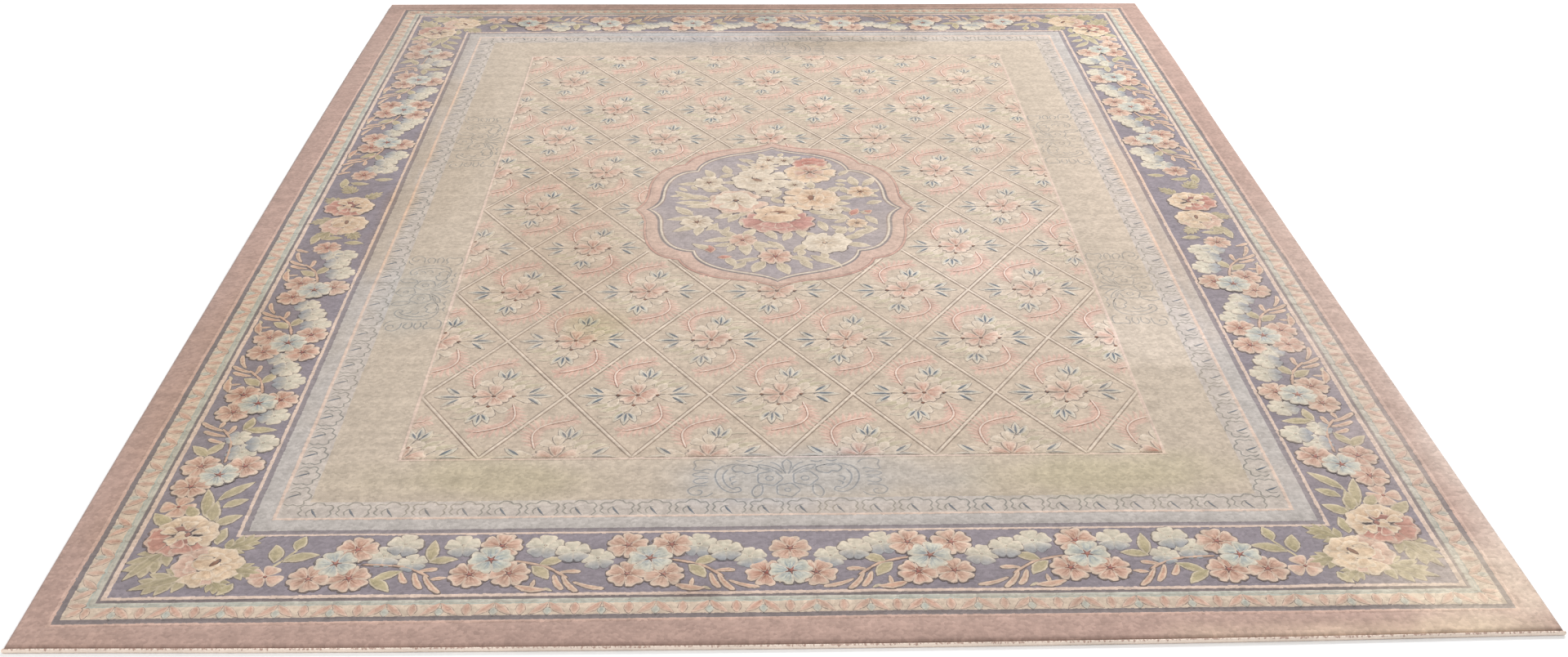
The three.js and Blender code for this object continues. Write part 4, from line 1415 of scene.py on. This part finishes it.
# The stem: a pale top between sides painted darker as the shade of its cuts
FERN_LINE = ((-1, 0.3, "a87c6c"), (-0.62, 0.7, "a87c6c"), (-0.5, 1.3, "e6cfc0"), (0.5, 1.3, "e6cfc0"),
             (0.62, 0.7, "a87c6c"), (1, 0.3, "a87c6c"))


def fern(bm):
    """A curved stem with a row of narrow leaflets on each side."""
    line = curve(FERN_STEM, 3)
    for k in range(1, len(line)):
        way = (line[k] - line[k - 1]).normalized()
        size = FERN_LEAFLET * (LEAFLET_LEAST + LEAFLET_SWELL * math.sin(math.pi * k / len(line)))
        for side in (1, -1):
            across = Vector((-way.y, way.x)) * side
            root = line[k] + across * 2
            tip = root + (way * LEAFLET_WAY[0] + across * LEAFLET_WAY[1]) * size
            carve(bm, root, tip, LEAFLET_HALF, "fern", SMALL, 0.9, 0.0, -4 * side,
                  line=1.8, cut=0.1, rim_highlight=0.0, vein=0.1, skirt=FERN_CUT_SHADE)
    line_work(bm, line, FERN_HALF, FERN_LINE)


def spray_half(bm):
    """The leaves, strokes, dots and fern of half a spray."""
    for look, outline, x0, y0, x1, y1, half, bend, lift in SPRAY_HALF:
        carve(bm, (x0, y0), (x1, y1), half, look, outline, 1.0, lift, bend, vein=0.4, line=2.0, cut=0.7)
    for x0, y0, x1, y1, half in SPRAY_STROKES:
        carve(bm, (x0, y0), (x1, y1), half, "blue stroke", LEAF, 0.5, 1.2,
              vein=0.0, line=0.8, cut=0.2, rim_highlight=0.0)
    for at in SPRAY_DOTS:
        disc(bm, "dark heart", 4, 1.1, at, crown=0.5, line=1.2)
    fern(bm)


def spray(bm):
    """The flower spray of one diamond: two halves and the flower over them."""
    half = unit(spray_half)
    for turn in (0, 180):
        stamp(bm, half, 0, 0, turn)
    wild_ring(bm, "panel pink", 6, 4, 45, 18.5, start=25, lift=0.6, seed=3,
              notch=0.12, vein=1.0, line=2.0, cut=0.6)
    disc(bm, "dark heart", 3.6, 1.4, crown=0.5, line=1.2)


def sprays(mesh, places, name):
    """A spray in each diamond whose middle is this many half diamonds from the rug's middle."""
    bm = new_piece()
    for column in places:
        for row in places:
            stamp(bm, mesh, column * CELL_X / 2, row * CELL_Y / 2)
    trim_to_panel(bm)
    hidden = [face for face in bm.faces if all(inside_medallion(v.co.x, v.co.y) for v in face.verts)]
    bmesh.ops.delete(bm, geom=hidden, context="FACES")
    return lay_on_pile(bm, name, tucked=True)


spray_mesh = unit(spray)
whole_sprays = sprays(spray_mesh, (-4, -2, 0, 2, 4), "lattice_sprays_whole")
between_sprays = sprays(spray_mesh, (-5, -3, -1, 1, 3, 5), "lattice_sprays_between")

# Bound ends in cotton and corded sides in wool
END_BINDING = {"wide": 7.0, "high": 9.5, "gap": 0.3, "thread": 4.2}
SIDE_CORD = {"wide": 4.0, "high": 7.0, "gap": 0.3, "thread": 5.0}
# The thread's slant in turns, its depth, the steps round the strip, and how its ends close
THREAD_SLANT = 0.35
THREAD_RELIEF = 0.38
ROUND_STEPS = 8
ROUND_END = 4.5


def overcast_edge(reach, size, place):
    """A rounded strip wrapped in thread. place puts a point along, out and up where it belongs."""
    bm = bmesh.new()
    rows = int(2 * reach / size["thread"] * 3)
    bmesh.ops.create_grid(bm, x_segments=rows, y_segments=ROUND_STEPS, size=1)
    for vert in bm.verts:
        along = vert.co.x * reach
        share = (vert.co.y + 1) / 2
        angle = 2 * math.pi * share
        twist = math.sin(2 * math.pi * (along / size["thread"] + THREAD_SLANT * math.sin(angle)))
        swell_out = 1 - THREAD_RELIEF / size["wide"] * (1 - twist)
        to_end = min((reach - abs(along)) / ROUND_END, 1)
        closed = max(0.05, math.sqrt(1 - (1 - to_end) ** 2))
        out = (0.5 + 0.5 * math.cos(angle) * swell_out * closed) * size["wide"] + size["gap"]
        up = (0.5 + 0.5 * math.sin(angle) * swell_out * closed) * size["high"]
        vert.co = place(along, out, up)
    bmesh.ops.remove_doubles(bm, verts=bm.verts, dist=0.01)
    bmesh.ops.recalc_face_normals(bm, faces=bm.faces)
    return bm


def end_place(sign):
    def place(along, out, up):
        x = min(max(along, -HALF_X), HALF_X)
        return along, sign * (HALF_Y + out) + wander(x, sign * HALF_Y)[1], up
    return place


def side_place(sign):
    def place(along, out, up):
        return sign * (HALF_X + out) + wander(sign * HALF_X, along)[0], along, up
    return place


# The pile's strands over a binding: how far they reach down and where they begin, in metres, and their
# colour: the tufts' brown wool with painted shade under them
STRAND_REACH = 0.012
STRAND_FROM = 0.0146
STRAND_SOFT = 0.0012
STRAND_WOOL_AND_SHADE = "9a7466"


def thread_work(name, colour, shade, slant):
    """Thread wrapped over an edge: each turn is a ridge, painted darker between turns as shade, and
    soiled in places.
    """
    material, tree, place = blank_material(name)
    stretched = add(tree, "ShaderNodeMapping", named={"Vector": place, "Scale": slant})
    turns = add(tree, "ShaderNodeTexNoise", named={"Vector": stretched, "Scale": 1.0, "Detail": 3.0})
    # Painted shade between the turns
    tone = add(tree, "ShaderNodeMix", named={"Factor": turns, "A": linear(shade), "B": linear(colour)},
               data_type="RGBA")
    soil = add(tree, "ShaderNodeTexNoise", named={"Vector": place, "Scale": 9.0, "Detail": 4.0})
    soiled = add(tree, "ShaderNodeMapRange", soil, 0.45, 0.75, 1.0, 0.82)
    worn = add(tree, "ShaderNodeVectorMath", tone, named={"Scale": soiled}, operation="SCALE")

    # Short ends of the pile wool stand over the top of the binding, so its upper edge looks ragged: a
    # dark brown band painted there is the tufts and the painted shade under them
    height = add(tree, "ShaderNodeSeparateXYZ", place).outputs["Z"]
    strands = add(tree, "ShaderNodeTexNoise", named={"Vector": place, "Scale": 190.0, "Detail": 2.0},
                  noise_dimensions="2D")
    reach = add(tree, "ShaderNodeMath", strands, STRAND_REACH, height, operation="MULTIPLY_ADD")
    over = add(tree, "ShaderNodeMapRange", reach, STRAND_FROM, STRAND_FROM + STRAND_SOFT, 0.0, 0.75)
    topped = add(tree, "ShaderNodeMix", named={"Factor": over, "A": worn, "B": linear(STRAND_WOOL_AND_SHADE)},
                 data_type="RGBA")

    fine = add(tree, "ShaderNodeTexNoise", named={"Vector": place, "Scale": 900.0, "Detail": 2.0})
    bump = add(tree, "ShaderNodeBump", named={"Height": fine, "Strength": 0.4, "Distance": 0.0005})
    shader = add(tree, "ShaderNodeBsdfPrincipled", named={
        "Base Color": topped, "Roughness": 0.85, "Specular IOR Level": 0.2, "Sheen Weight": 0.1,
        "Normal": bump})
    add(tree, "ShaderNodeOutputMaterial", shader)
    return material


end_cotton = thread_work("overcast_cotton_thread", "f3e3d5", "dbc8b9", (240, 20, 60))
side_wool = thread_work("wrapped_wool_cord", "c0aaa2", "a08a83", (20, 240, 60))
for sign, node in ((-1, "front_end_binding"), (1, "back_end_binding")):
    bm = overcast_edge(HALF_X + 4, END_BINDING, end_place(sign))
    finish_piece(bm, node + "_thread", end_cotton, (node,))
for sign, node in ((-1, "left_side_cord"), (1, "right_side_cord")):
    bm = overcast_edge(HALF_Y - 1, SIDE_CORD, side_place(sign))
    finish_piece(bm, node + "_thread", side_wool, (node,))


# Floor and light
FLOOR_REACH = 20
FLOOR_WHITE = (0.93, 0.93, 0.93, 1)
SKY_STRENGTH = 0.5
# Name, place, size, power in watts: a big soft source high at the back right, and a fill
LIGHTS = (
    ("soft_window", (4.5, 5.0, 5.5), 3.2, 900),
    ("soft_fill", (-4.0, -5.0, 6.0), 5.0, 310),
)

floor_mesh = bpy.data.meshes.new("studio_floor")
floor_bm = bmesh.new()
bmesh.ops.create_grid(floor_bm, x_segments=1, y_segments=1, size=FLOOR_REACH)
floor_bm.to_mesh(floor_mesh)
floor_bm.free()
studio_floor = bpy.data.objects.new("studio_floor", floor_mesh)
bpy.context.collection.objects.link(studio_floor)
paper = bpy.data.materials.new("white_paper_floor")
paper.use_nodes = True
paper.node_tree.nodes["Principled BSDF"].inputs["Base Color"].default_value = FLOOR_WHITE
paper.node_tree.nodes["Principled BSDF"].inputs["Roughness"].default_value = 1.0
floor_mesh.materials.append(paper)

for name, place, size, power in LIGHTS:
    lamp = bpy.data.objects.new(name, bpy.data.lights.new(name, "AREA"))
    bpy.context.collection.objects.link(lamp)
    lamp.data.size = size
    lamp.data.energy = power
    lamp.location = place
    lamp.rotation_mode = "QUATERNION"
    lamp.rotation_quaternion = (-Vector(place)).to_track_quat("-Z", "Y")

sky = bpy.data.worlds.new("studio")
sky.use_nodes = True
sky.node_tree.nodes["Background"].inputs["Color"].default_value = (1, 1, 1, 1)
sky.node_tree.nodes["Background"].inputs["Strength"].default_value = SKY_STRENGTH
bpy.context.scene.world = sky
